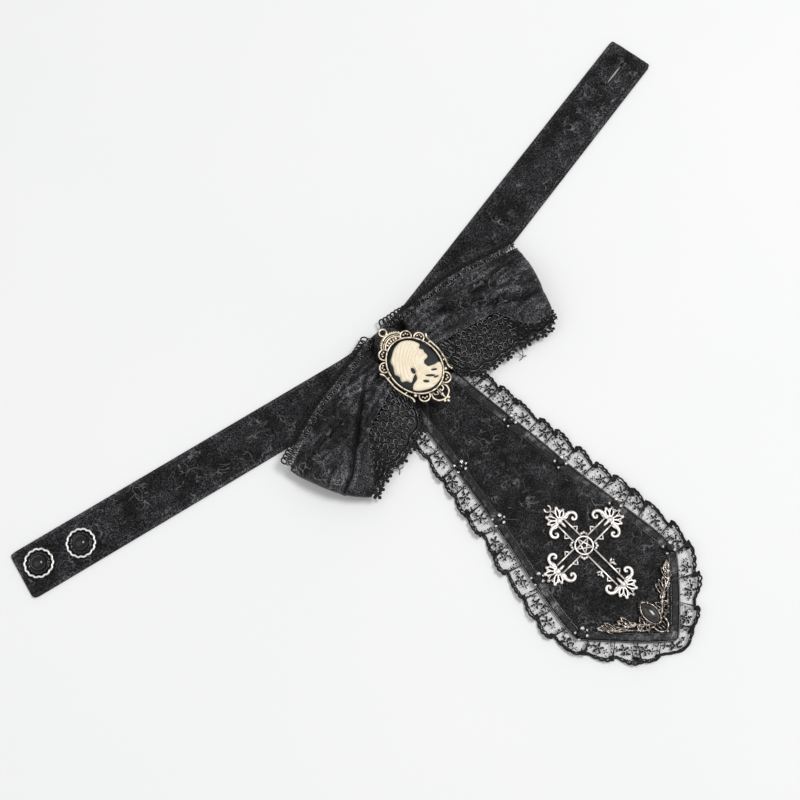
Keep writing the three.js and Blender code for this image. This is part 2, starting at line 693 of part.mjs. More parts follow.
// Ivory relief: a long-haired skeleton bust in profile, facing +X.
function cameoRelief() {
  const head = [
    [-1.2, 13.8], [3.4, 13.8], [7, 11], [9.2, 7.4], [8.1, 5.9], [8.4, 2.9], [7.9, -0.7], [5.2, -1.4],
    [3.8, -3.8], [-3.8, -4.1], [-8, -5.2], [-9.9, -1.8], [-10, 3.4], [-8.6, 8], [-5.4, 11.8],
  ];
  const bust = [
    [-1.8, -2.7], [4.1, -2.9], [5.2, -4.5], [9.6, -7.2], [7.6, -10.4], [3.8, -13.2], [-1.6, -13.8],
    [-6.6, -11.2], [-8.5, -8.6], [-5, -5.9],
  ];
  const ribs = [
    { x: -1.1, y: -9.9, long: 1.2, wide: 0.62, turn: -50 },
    { x: 2.3, y: -9, long: 1.9, wide: 0.56, turn: -42 },
    { x: 5.5, y: -8.1, long: 1.2, wide: 0.46, turn: -36 },
  ];
  const pieces = [extruded(head, 30, 0.8, 0), extruded(bust, 22, 0.8, 0, ribs)];
  pieces.push(blob(2.7, 6.8, 0.7, 5.2, 5.5, 1.3, 0, 9, 4));
  pieces.push(blob(5.7, 1.4, 0.7, 2, 2.5, 0.9, 0, 6, 3));
  const locks = [
    [[3.4, 12.7], [-1.6, 10.8], [-5, 6.8], [-7.4, 1.1]],
    [[0.7, 12.9], [-4.1, 10.6], [-7.2, 6.1], [-8.5, -0.7]],
    [[2.3, 10.6], [-1.8, 7.2], [-4.1, 2.7], [-7.4, -3.4]],
    [[1.4, 7.9], [-1.1, 4.3], [-3.2, 0.7], [-5.2, -3.4]],
  ];
  for (const lock of locks) {
    pieces.push(ridge(smoothPath(lock, 5), 2.8, 1.7, 0.75));
  }
  pieces.push(ridge(smoothPath([[-6.3, -7.4], [-1.1, -6.5], [3.4, -6.3], [8, -7.3]], 5), 1.6, 1.2, 0.7));
  const eye = blob(6.2, 5.2, 2.3, 1.1, 1, 1.2, 0, 7, 4);
  const above = new THREE.BoxGeometry(60, 60, 20).translate(0, 0, 10);
  const solid = pieces.map(toManifold).reduce((whole, next) => whole.add(next));
  return fromManifold(solid.subtract(toManifold(eye)).intersect(toManifold(above)).simplify(FINEST_STEP));
}

function addCameo() {
  const place = (geometry, lift) => {
    geometry.translate(0, CAMEO_Y, CAMEO_Z + lift);
    return welded(geometry);
  };
  add('cameo_frame', place(cameoFrame(), 0), 'gold');
  add('cameo_plaque', place(ovalDome(PLAQUE_HALF.x - 0.35, PLAQUE_HALF.y - 0.35, 1.7), 0.1), 'black');
  add('cameo_relief', place(cameoRelief(), 1.95), 'ivory');
}

// One arm end of the cross: a shell of petals with two volutes that curl back.
function armEnd(reach) {
  const pieces = [];
  const root = reach - PALMETTE_LENGTH;
  for (const { turn, long } of PALMETTE_PETALS) {
    const x = root + 0.56 * long * Math.cos(turn * RAD);
    const y = 0.56 * long * Math.sin(turn * RAD);
    pieces.push(blob(x, y, 1, 0.5 * long, 1.35, 1, turn, 4, 2));
  }
  pieces.push(blob(root - 1.6, 0, 0.95, 2.6, 0.75, 0.9, 0, 4, 2));
  pieces.push(blob(root + 0.6, 0, 0.85, 2.6, 3.2, 0.85, 0, 6, 2));
  for (const side of [1, -1]) {
    const curl = smoothPath([
      [root + 0.3, side * 2.2], [root + 0.3, side * 5.4], [root - 0.5, side * 7.3], [root - 2.1, side * 8],
      [root - 3.6, side * 7.4], [root - 4.1, side * 6.1], [root - 3.3, side * 5.2], [root - 2.4, side * 5.6],
    ], 7);
    pieces.push(ridge(curl, 1.6, 1.8, 0.95));
  }
  return pieces;
}

function spur(along, side, radius) {
  const path = arcPath(along, side * CROSS_RAIL, radius, side * -10, side * 190, 3);
  return ridge(path, 1, 1.2, 0.7);
}

function crossArm(reach, headingDeg, leafy) {
  const pieces = armEnd(reach);
  for (const side of [1, -1]) {
    const railEnd = reach - PALMETTE_LENGTH + 1;
    pieces.push(ridge([point3(3.6, side * CROSS_RAIL), point3(railEnd, side * CROSS_RAIL)], 1.2, 1.4, 0.8));
    pieces.push(blob(4.1, side * 3.8, 0.8, 1.5, 1.1, 0.8, side * 45, 4, 2));
    if (leafy) {
      pieces.push(spur(19.6, side, 1.9));
      pieces.push(blob(14.9, side * 3.6, 0.8, 2, 1.3, 0.8, side * 60, 4, 2));
      pieces.push(blob(13.7, side * 4.3, 0.8, 1.1, 1, 0.7, 0, 4, 2));
    } else {
      pieces.push(spur(8.8, side, 1.9));
    }
  }
  return pieces.map((geometry) => geometry.rotateZ(headingDeg * RAD));
}

function crossCharm() {
  const pieces = [
    ...crossArm(23.3, 90, false), ...crossArm(24.8, 180, false),
    ...crossArm(24.8, 0, false), ...crossArm(32.8, -90, true),
    wire(ovalPath(0, 0, 4.35, 4.35, 16), 1.1, 1.7, 0.8, true),
    ridge(arcPath(0, 24.7, 1.6, -225, 45, 6), 1.1, 1.1, 0.8),
    blob(0, 22.9, 0.9, 1, 1, 0.8, 0, 5, 2),
  ];
  for (let k = 0; k < 5; k++) {
    const from = (90 + k * 72) * RAD;
    const to = (90 + (k + 2) * 72) * RAD;
    const star = [from, to].map((turn) => point3(4.3 * Math.cos(turn), 4.3 * Math.sin(turn)));
    pieces.push(ridge(star, 0.9, 1, 0.8));
  }
  const geometry = fuse(pieces);
  geometry.rotateZ(CROSS_TURN * RAD);
  geometry.translate(0, CROSS_Y, CROSS_Z);
  return welded(geometry);
}

// Filigree for the panel's point: two leafy legs in a V around an oval stone.
function cornerFiligree() {
  const rim = stoneOutline(3.7, 6.2, 18);
  const pieces = [
    wire(rim, 1.1, 1.9, 0.95, true),
    ridge(smoothPath([[-3.6, -5.2], [-2.8, -9.2], [0, -11], [2.8, -9.2], [3.6, -5.2]], 8), 1.2, 1.4, 0.75),
    ridge([point3(0, -6), point3(0, -10.8)], 1.2, 1.3, 0.75),
    blob(0, -11.7, 0.8, 0.9, 1, 0.8, 0, 5, 2),
  ];
  const spine = smoothPath([
    [2.6, -4.4], [5.5, -2.6], [8.8, 0.6], [13.2, 3.2], [18, 5.2], [21, 8.2], [24, 11.4],
  ], 7);
  for (const side of [1, -1]) {
    pieces.push(ridge(side > 0 ? spine : mirrored(spine), 2, 1.7, 0.85));
    for (const leaf of FILIGREE_LEAVES) {
      pieces.push(blob(side * leaf.x, leaf.y, 0.9, leaf.long, leaf.wide, 0.9, side * leaf.turn, 4, 2));
    }
  }
  const geometry = fuse(pieces);
  geometry.translate(0, CORNER_Y, CORNER_Z);
  return welded(geometry);
}

function stoneOutline(rx, ry, steps) {
  return ovalPath(0, 0, 1, 1, steps).map((p) => {
    const narrow = p.y > 0 ? 1 - 0.28 * p.y ** 2 : 1;
    return point3(p.x * rx * narrow, p.y * ry, 0);
  });
}

function cornerStone() {
  const rows = [[0, 1], [0.5, 1], [0.85, 0.72], [1, 0.36]];
  const steps = 18;
  const height = 3;
  const positions = [];
  const index = [];
  for (const [level, size] of rows) {
    for (const p of stoneOutline(3 * size, 5.5 * size, steps)) {
      positions.push(p.x, p.y, level * height);
    }
  }
  positions.push(0, 0, 0, 0, 0, height * 1.05);
  const bottom = rows.length * steps;
  for (let k = 0; k < steps; k++) {
    const next = (k + 1) % steps;
    for (let row = 0; row < rows.length - 1; row++) {
      const a = row * steps;
      index.push(a + k, a + next, a + steps + next, a + k, a + steps + next, a + steps + k);
    }
    const top = (rows.length - 1) * steps;
    index.push(top + k, top + next, bottom + 1, next, k, bottom);
  }
  const geometry = new THREE.BufferGeometry();
  geometry.setAttribute('position', new THREE.Float32BufferAttribute(positions, 3));
  geometry.setIndex(index);
  geometry.translate(0, CORNER_Y, CORNER_Z + 0.2);
  return geometry;
}

add('neck_band', neckBand(), 'velvet');
addButtons();
for (const [name, loop] of Object.entries(LOOPS)) {
  add(`bow_loop_${name}`, bowLoop(loop), 'velvet');
  add(`bow_lace_upper_${name}`, upperLace(loop), 'lace');
  add(`bow_lace_lower_${name}`, lowerLace(loop), 'lace');
}
add('bow_centre', bowCentre(), 'velvet');
add('jabot_panel', jabotPanel(), 'velvet');
add('ruffle_header', ruffleHeader(), 'net');
add('lace_ruffle', laceRuffle(), 'net');
addBeads();
addCameo();
add('cross_charm', crossCharm(), 'silver');
add('corner_filigree', cornerFiligree(), 'bronze');
add('corner_stone', cornerStone(), 'smoke');

export default group;
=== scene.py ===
"""Bow jabot collar lying open: velvet band, lace-edged bow with a framed cameo, jabot with a ruffle.

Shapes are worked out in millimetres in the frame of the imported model, +Z up and the jabot
towards -Y, and become metres when a piece is made.
"""
import math

import bpy
import numpy as np
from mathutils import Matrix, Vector


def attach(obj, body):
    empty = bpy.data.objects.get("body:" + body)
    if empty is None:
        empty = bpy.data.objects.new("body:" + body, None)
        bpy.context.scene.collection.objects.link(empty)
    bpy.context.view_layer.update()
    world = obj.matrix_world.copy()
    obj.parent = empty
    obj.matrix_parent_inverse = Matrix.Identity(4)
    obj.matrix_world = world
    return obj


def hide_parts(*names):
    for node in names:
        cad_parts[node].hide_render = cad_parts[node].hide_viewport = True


MM = 0.001
RAD = math.pi / 180
SEED = 7

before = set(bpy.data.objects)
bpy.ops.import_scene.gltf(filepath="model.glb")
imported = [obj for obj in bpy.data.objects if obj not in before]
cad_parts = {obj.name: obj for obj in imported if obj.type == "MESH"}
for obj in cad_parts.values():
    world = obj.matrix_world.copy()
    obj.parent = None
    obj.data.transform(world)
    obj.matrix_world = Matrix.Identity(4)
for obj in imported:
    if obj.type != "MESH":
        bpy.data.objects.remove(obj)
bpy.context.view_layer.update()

# Neck band
BAND_WIDTH = 25.0
BAND_THICK = 2.0
BAND_HALF_LENGTH = 211.7
BAND_CORNER = 2.4
BAND_BEND_RADIUS = 150.0
BAND_TILT_LEFT = 11.2
BAND_TILT_RIGHT = 10.3
BUTTONS = ((-201.1, 1.0), (-179.4, -1.1))
BUTTON_RADIUS = 7.5
BUTTON_SCALLOPS = 14
HOLE_STATION = 195.8
HOLE_HALF = 7.5
HOLE_GAP = 0.7
HOLE_STITCHES = 64
SEAM_INSET = 2.5
STITCH_PITCH = 2.7
STITCH_LENGTH = 1.9

# Bow
LOOP_CENTRE_Y = -8.0
LOOP_WALL = 1.1
LOOPS = {
    "left": {
        "side": -1, "droop": 20.0, "reach": 76.5, "roundness": 0.0082, "widest": 11.0,
        "lowest": -18.0, "drop_from": 38.0, "drop_over": 34.0, "lace_from": 14.5, "lace_far": -19.6,
    },
    "right": {
        "side": 1, "droop": 14.7, "reach": 78.9, "roundness": 0.004, "widest": 10.0,
        "lowest": -15.8, "drop_from": 49.0, "drop_over": 16.0, "lace_from": 15.5, "lace_far": -21.6,
    },
}
LOOP_ROOT = 9.2
LOOP_FOLD = 7.5
LOOP_FRONT_Z = 9.0
LOOP_BACK_Z = 3.4
LOOP_PUFF_Z = 16.2
# Shares of a loop's cloth at which its front layer and its fold end
FRONT_END = 0.56
FOLD_END = 0.74
KNOT_HALF = (8.0, 10.8)
KNOT_Y = -0.5
KNOT_Z = (2.6, 11.5)
WIDE_LACE = 19.0
NARROW_LACE = 5.2
# Thread ends, as rows of x, y, heading and bend at each step in degrees
LACE_TAILS = (
    (-41.5, -44.0, -70, 25),
    (-40.5, -43.5, -52, -30),
    (45.0, -43.0, -100, 28),
    (46.5, -43.5, -82, -35),
)
TAIL_START_Z = 4.6
TAIL_STEPS = ((1.6, 4.0), (1.7, 2.6), (1.6, 1.2), (1.3, 0.5))

# Jabot panel, as rows of height, half width and lean of its middle
PANEL_THICK = 2.0
PANEL_TOP_Y = -13.0
PANEL_ROWS = np.array([
    (-13, 13.5, 0.3), (-41, 16, 0.2), (-83, 21.2, -0.2), (-107, 24.5, -1),
    (-130, 28.5, -1.4), (-153, 32, -1.4), (-163, 32.4, -1.2), (-167.2, 30.9, -0.3),
    (-176.6, 22.4, 0.4), (-186.9, 12.2, 0.5), (-194.3, 3.8, 0.7),
])
PANEL_POINT = (0.7, -196.6)
PANEL_CORNER = (31.0, -166.0)
HEADER_WIDTH = 3.7
# The header's inner and outer edges, in from the hem
HEADER_INNER = 3.75
HEADER_OUTER = 0.45
RUFFLE_START_Y = -29.0
RUFFLE_WIDTH = 9.4
RUFFLE_PLEAT = 11.8

# Cameo, cross, corner ornament and beads
CAMEO_Y = -15.9
CAMEO_Z = 12.2
BEZEL_HALF = (13.4, 16.3)
BEZEL_WIRE = 0.65
PLAQUE_HALF = (12.1, 15.0)
CROSS_Y = -135.3
CROSS_Z = 2.2
CROSS_RAIL = 2.25
CROSS_TURN = 1.0
CORNER_Y = -179.4
CORNER_Z = 2.75
BEAD_RADIUS = 2.1
BEAD_ROWS = (-66.7, -98.5, -131.5, -164)
BEAD_INSET = 2.1
# Crystals round a bead, as rows of x and y from it and radius
CRYSTALS = ((2.3, 1.5, 1.3), (-2.5, -1.2, 0.8), (1.5, -2.4, 1.0), (-1.6, 2.3, 0.85), (3.3, -0.6, 0.8))

# Camera, as the photograph was taken: nearly overhead, the object turned 43 degrees
PHOTO_LOOK = (-14.8, -21.1, 0.0)
PHOTO_TURN = -43.0
PHOTO_ELEVATION = 75.0
PHOTO_DISTANCE = 615.5
PHOTO_FIELD = 36.0

# Light and floor, in metres and watts; a lamp's place is to the right of, ahead of and above the object
LAMPS = {
    "key": {"right": 0.8, "up": 0.23, "height": 1.93, "size": 0.66, "power": 23.5},
    "fill": {"right": -0.55, "up": -0.3, "height": 1.1, "size": 1.0, "power": 2.4},
}
WORLD_LIGHT = 0.475
FLOOR_REACH = 4.0
FLOOR_LEVEL = -0.0001


def mix(a, b, t):
    """From a at t = 0 to b at t = 1, in a straight line."""
    return a + (b - a) * t


def ease(t):
    """From 0 at t = 0 to 1 at t = 1, slow at both ends and level beyond them."""
    t = np.clip(t, 0, 1)
    return t * t * (3 - 2 * t)


def lattice_noise(x, y, cell, seed):
    """Smooth noise from 0 to 1 with features about one cell wide."""
    table = np.random.default_rng(seed).random((64, 64))
    gx, gy = np.asarray(x) / cell, np.asarray(y) / cell
    ix, iy = np.floor(gx).astype(int), np.floor(gy).astype(int)
    fx, fy = ease(gx - ix), ease(gy - iy)
    corner = [table[(ix + a) % 64, (iy + b) % 64] for a in (0, 1) for b in (0, 1)]
    return mix(mix(corner[0], corner[1], fy), mix(corner[2], corner[3], fy), fx)


def crumple(x, y, cell, seed):
    """Sharp creases where the cloth was crushed, from 0 to 1."""
    wide = lattice_noise(x, y, cell, seed)
    fine = lattice_noise(x + 40, y - 17, cell / 2.3, seed + 1)
    field = 0.65 * wide + 0.35 * fine
    return (1 - np.abs(2 * field - 1)) ** 7


# Materials


class Nodes:
    """A short way to write a material's node tree."""

    def __init__(self, name):
        self.material = bpy.data.materials.new(name)
        self.material.use_nodes = True
        self.tree = self.material.node_tree
        self.shader = self.tree.nodes["Principled BSDF"]

    def node(self, kind, inputs=(), **settings):
        made = self.tree.nodes.new(kind)
        for key, value in settings.items():
            setattr(made, key, value)
        for key, value in dict(inputs).items():
            if isinstance(value, bpy.types.NodeSocket):
                self.tree.links.new(value, made.inputs[key])
            else:
                made.inputs[key].default_value = value
        return made

    def place(self):
        return self.node("ShaderNodeTexCoord").outputs["Object"]

    def noise(self, size_mm, detail=2.0, distortion=0.0, vector=None):
        inputs = {
            "Vector": vector or self.place(),
            "Scale": 1000 / size_mm,
            "Detail": detail,
            "Distortion": distortion,
        }
        return self.node("ShaderNodeTexNoise", inputs).outputs["Fac"]

    def maths(self, operation, a, b=0.0, c=0.0):
        made = self.node("ShaderNodeMath", {0: a, 1: b, 2: c}, operation=operation)
        return made.outputs[0]

    def ramp(self, factor, stops):
        made = self.node("ShaderNodeValToRGB", {"Fac": factor})
        elements = made.color_ramp.elements
        while len(elements) < len(stops):
            elements.new(0.5)
        for element, (position, colour) in zip(elements, stops):
            element.position = position
            element.color = (*colour, 1)
        return made.outputs["Color"]

    def blend(self, factor, a, b, mode="MIX"):
        made = self.node("ShaderNodeMix", data_type="RGBA", blend_type=mode)
        for socket, value in ((made.inputs[0], factor), (made.inputs[6], a), (made.inputs[7], b)):
            if isinstance(value, bpy.types.NodeSocket):
                self.tree.links.new(value, socket)
            elif isinstance(value, tuple):
                socket.default_value = (*value, 1)
            else:
                socket.default_value = value
        return made.outputs[2]

    def bump(self, height, distance_mm, strength=1.0, under=None):
        inputs = {"Height": height, "Distance": distance_mm * MM, "Strength": strength}
        if under is not None:
            inputs["Normal"] = under
        return self.node("ShaderNodeBump", inputs).outputs["Normal"]

    def finish(self, links=(), **sockets):
        for key, value in sockets.items():
            self.shader.inputs[key.replace("_", " ").title().replace("Ior", "IOR")].default_value = value
        for key, value in dict(links).items():
            self.tree.links.new(value, self.shader.inputs[key])
        return self.material


def velvet_material(name, painted_sheen, shade, gloss=0.08):
    """Crushed black velvet: a speckled pile under clouds of painted sheen, painted light on its ridges and
    painted shade in its creases, and hairlines of painted crease highlight.
    """
    n = Nodes(name)
    pile = n.ramp(n.noise(0.6, 3), [(0.44, (0.002, 0.002, 0.003)), (0.72, (0.08, 0.08, 0.084))])
    # Clouds of painted sheen: the pile is painted lighter in patches, where crushed velvet would catch the
    # light.
    cloud = n.ramp(n.noise(13, 3, 0.4), [(0.38, (shade,) * 3), (0.66, (painted_sheen,) * 3)])
    # Painted highlight on convex ridges and painted shade in concave creases, from the mesh's curvature.
    bent = n.node("ShaderNodeNewGeometry").outputs["Pointiness"]
    ridge = n.ramp(bent, [(0.47, (0.3, 0.3, 0.3)), (0.5, (0.9, 0.9, 0.9)), (0.53, (2.2, 2.2, 2.2))])
    colour = n.blend(1.0, n.blend(1.0, pile, cloud, "MULTIPLY"), ridge, "MULTIPLY")
    # Curved hairlines of painted crease highlight, shown in short stretches within patches.
    away = []
    for size, shift in ((11.0, 0.0), (7.5, 0.31)):
        moved = n.node("ShaderNodeVectorMath", {0: n.place(), 1: (shift, shift, 0)}, operation="ADD")
        field = n.noise(size, 2, 0.7, moved.outputs[0])
        away.append(n.maths("ABSOLUTE", n.maths("SUBTRACT", field, 0.5)))
    line = n.ramp(n.maths("MINIMUM", *away), [(0.0, (0.2, 0.2, 0.205)), (0.013, (0, 0, 0))])
    short = n.ramp(n.noise(6.0, 2), [(0.48, (0, 0, 0)), (0.56, (1, 1, 1))])
    patch = n.ramp(n.noise(17, 3), [(0.42, (0.2, 0.2, 0.2)), (0.62, (painted_sheen * 0.6,) * 3)])
    line = n.blend(1.0, n.blend(1.0, line, short, "MULTIPLY"), patch, "MULTIPLY")
    colour = n.blend(1.0, colour, line, "ADD")
    fine = n.bump(n.noise(0.8, 2), 0.12, 0.7)
    soft = n.bump(n.noise(4.5, 3, 0.6), 0.45, 0.5, fine)
    return n.finish(
        {"Base Color": colour, "Normal": soft},
        roughness=0.55, specular_ior_level=gloss, sheen_weight=0.04, sheen_roughness=0.4,
    )


def lace_material(name, light):
    """Black cotton cord with a twisted ply, with a painted grey highlight here and there along its top.

    Where the UV's X is 1, on the woven ground and the marked cords, it stays plain black, without the painted
    highlight.
    """
    n = Nodes(name)
    ply = n.noise(0.5, 2, 0.8)
    colour = n.ramp(ply, [(0.3, (0.003, 0.003, 0.004)), (0.75, (0.016, 0.016, 0.017))])
    facing = n.node("ShaderNodeSeparateXYZ", {"Vector": n.node("ShaderNodeNewGeometry").outputs["Normal"]})
    # Painted highlight along the tops of the cords, where they face up, broken up by noise.
    top = n.ramp(facing.outputs["Z"], [(0.9, (0, 0, 0)), (1.0, (light,) * 3)])
    uneven = n.ramp(n.noise(2.2, 2), [(0.42, (0.12, 0.12, 0.12)), (0.6, (1, 1, 1))])
    marked = n.node("ShaderNodeSeparateXYZ", {"Vector": n.node("ShaderNodeUVMap").outputs["UV"]}).outputs["X"]
    painted_cord_highlight = n.blend(marked, n.blend(1.0, top, uneven, "MULTIPLY"), (0.0, 0.0, 0.0))
    return n.finish(
        {"Base Color": n.blend(1.0, colour, painted_cord_highlight, "ADD"), "Normal": n.bump(ply, 0.15, 0.8)},
        roughness=0.5, specular_ior_level=0.25,
    )


def net_material(name, solid_from, thread, colour_low, colour_high):
    """Sheer net: crossing threads over a clear ground, dense beyond solid_from mm."""
    n = Nodes(name)
    across = n.node("ShaderNodeSeparateXYZ", {"Vector": n.node("ShaderNodeUVMap").outputs["UV"]})
    run, out = across.outputs["X"], across.outputs["Y"]
    threads = []
    for operation in ("ADD", "SUBTRACT"):
        slant = n.maths("MULTIPLY", n.maths(operation, run, out), 1.1)
        threads.append(n.maths("LESS_THAN", n.maths("FRACT", slant), thread))
    net = n.maths("MAXIMUM", *threads)
    wavy = n.maths("MULTIPLY_ADD", n.maths("SINE", n.maths("MULTIPLY", run, 2.1)), 0.3, out)
    border = n.maths("GREATER_THAN", wavy, solid_from)
    eyelet = n.maths("GREATER_THAN", n.noise(1.1, 1), 0.4)
    dense = n.maths("MULTIPLY", border, eyelet)
    ground = n.maths("MULTIPLY", n.maths("GREATER_THAN", n.noise(0.9, 2), 0.64), 0.12)
    alpha = n.maths("MAXIMUM", n.maths("MAXIMUM", net, dense), ground)
    colour = n.ramp(n.noise(1.4, 2), [(0.3, colour_low), (0.75, colour_high)])
    return n.finish({"Base Color": colour, "Alpha": alpha}, roughness=0.6, sheen_weight=0.05)


def header_material():
    """Sheer header gathered over velvet: smoky grey with fine gathers, and broad patches of painted satin
    sheen.
    """
    n = Nodes("net_header")
    gather = n.noise(1.2, 3, 0.5)
    tone = n.ramp(gather, [(0.33, (0.006, 0.006, 0.007)), (0.68, (0.07, 0.07, 0.073))])
    # Broad patches of painted satin sheen: painted lighter in patches and darker between them.
    wide = n.ramp(n.noise(6, 2), [(0.47, (0.15, 0.15, 0.15)), (0.68, (3.8, 3.8, 3.8))])
    return n.finish(
        {"Base Color": n.blend(0.9, tone, wide, "MULTIPLY"), "Normal": n.bump(gather, 0.35, 0.8)},
        roughness=0.5, specular_ior_level=0.22, sheen_weight=0.05,
    )


def cast_metal(name, dark, light, roughness, patina, metallic):
    """Cast plated metal: painted shade on its sides and a painted highlight on top, as light falls on it, and
    dark in its hollows.

    Its patina is the size of the stains in mm, their darkness, and the noise at which they start and end.
    """
    n = Nodes(name)
    geometry = n.node("ShaderNodeNewGeometry")
    facing = n.node("ShaderNodeSeparateXYZ", {"Vector": geometry.outputs["Normal"]}).outputs["Z"]
    # Painted light by facing: the sides painted dark as shade, the tops painted light.
    painted_facing_light = n.ramp(facing, [(0.3, dark), (0.82, light)])
    hollow = n.ramp(geometry.outputs["Pointiness"], [(0.42, (0.25, 0.22, 0.2)), (0.5, (1, 1, 1))])
    size, low, start, end = patina
    stain = n.ramp(n.noise(size, 3), [(start, (low, low * 0.93, low * 0.88)), (end, (1, 1, 1))])
    rough = n.maths("MULTIPLY_ADD", n.noise(0.9, 2), 0.25, roughness - 0.1)
    return n.finish(
        {
            "Base Color": n.blend(0.9, n.blend(0.8, painted_facing_light, hollow, "MULTIPLY"), stain, "MULTIPLY"),
            "Roughness": rough,
            "Normal": n.bump(n.noise(0.7, 2), 0.06, 0.6),
        },
        metallic=metallic,
    )


def gloss_black(name, tone, roughness, coat=0.6):
    """Polished black, a little uneven in tone and gloss."""
    n = Nodes(name)
    colour = n.ramp(n.noise(2.5, 2), [(0.3, (tone, tone, tone)), (0.8, (tone * 2.5,) * 3)])
    rough = n.maths("MULTIPLY_ADD", n.noise(1.5, 2), 0.08, roughness)
    return n.finish({"Base Color": colour, "Roughness": rough}, coat_weight=coat, specular_ior_level=0.4)


def plaque_material():
    """Satin black plaque under the relief."""
    n = Nodes("plaque_black")
    colour = n.ramp(n.noise(3, 3), [(0.3, (0.006, 0.007, 0.009)), (0.75, (0.02, 0.022, 0.027))])
    return n.finish(
        {"Base Color": colour, "Normal": n.bump(n.noise(1.2, 2), 0.05, 0.3)},
        roughness=0.45, specular_ior_level=0.25,
    )


def ivory_material():
    """Cast ivory resin with a warm stain lying in its hollows."""
    n = Nodes("ivory_resin")
    edge = n.node("ShaderNodeNewGeometry").outputs["Pointiness"]
    stain = n.ramp(edge, [(0.4, (0.55, 0.42, 0.27)), (0.49, (0.9, 0.8, 0.62)), (0.58, (0.97, 0.9, 0.76))])
    cloud = n.ramp(n.noise(5, 3), [(0.3, (0.93, 0.9, 0.85)), (0.7, (1, 1, 1))])
    return n.finish(
        {"Base Color": n.blend(0.8, stain, cloud, "MULTIPLY"), "Normal": n.bump(n.noise(0.8, 2), 0.06, 0.4)},
        roughness=0.5, specular_ior_level=0.35,
    )


def stone_material():
    """Opaque smoky stone, with painted light on its rim: paler where it is seen edge-on."""
    n = Nodes("smoky_glass")
    # Painted light on the rim: the stone is painted paler where its surface is seen at a slant.
    depth = n.node("ShaderNodeLayerWeight", {"Blend": 0.35}).outputs["Facing"]
    cloud = n.ramp(n.noise(4, 2, 0.5), [(0.35, (0.003, 0.003, 0.003)), (0.72, (0.06, 0.055, 0.05))])
    colour = n.blend(depth, cloud, (0.13, 0.12, 0.11))
    return n.finish({"Base Color": colour}, roughness=0.16, coat_weight=0.2, ior=1.45)


def floor_material():
    """Pale matt floor."""
    n = Nodes("pale_floor")
    colour = n.ramp(n.noise(160, 2), [(0.3, (0.86, 0.865, 0.87)), (0.8, (0.885, 0.885, 0.885))])
    return n.finish({"Base Color": colour}, roughness=0.9, specular_ior_level=0.1)


# The three velvets differ in the strength of their painted sheen and shade; the bow's loops are painted
# brightest, and are also glossier.
VELVET = velvet_material("velvet", 1.15, 0.3)
BOW_VELVET = velvet_material("velvet_bow", 2.0, 0.3, 0.16)
BAND_VELVET = velvet_material("velvet_band", 1.35, 0.4)
LACE = lace_material("guipure_lace", 0.34)
NARROW_LACE_CORD = lace_material("guipure_lace_narrow", 0.4)
EMBROIDERY = lace_material("net_embroidery", 0.008)
NET = net_material("net_lace", 8.2, 0.032, (0.01, 0.01, 0.011), (0.05, 0.05, 0.053))
HEADER = header_material()
THREAD = gloss_black("thread", 0.01, 0.45)
GOLD = cast_metal(
    "antique_gold", dark=(0.05, 0.036, 0.025), light=(1.0, 0.88, 0.68), roughness=0.34,
    patina=(2.0, 0.35, 0.38, 0.52), metallic=0.55,
)
SILVER = cast_metal(
    "antique_silver", dark=(0.07, 0.065, 0.062), light=(0.95, 0.91, 0.87), roughness=0.32,
    patina=(2.2, 0.5, 0.36, 0.5), metallic=0.55,
)
# Its patina leaves most of the bronze nearly black, and the unstained spots between stand as painted glints.
BRONZE = cast_metal(
    "dark_bronze", dark=(0.012, 0.01, 0.009), light=(0.54, 0.47, 0.42), roughness=0.24,
    patina=(1.5, 0.08, 0.46, 0.62), metallic=0.6,
)
RIM_METAL = cast_metal(
    "button_metal", dark=(0.12, 0.118, 0.115), light=(0.95, 0.94, 0.92), roughness=0.25,
    patina=(2.0, 0.6, 0.35, 0.5), metallic=0.6,
)
CRYSTAL = cast_metal(
    "seed_crystal", dark=(0.12, 0.12, 0.125), light=(1.0, 1.0, 1.0), roughness=0.15,
    patina=(1.0, 0.8, 0.4, 0.5), metallic=0.9,
)
BUTTON_BLACK = gloss_black("button_black", 0.003, 0.14, 0.1)
BEAD_BLACK = gloss_black("bead_black", 0.004, 0.08, 0.4)
PLAQUE = plaque_material()
IVORY = ivory_material()
STONE = stone_material()


# Mesh making


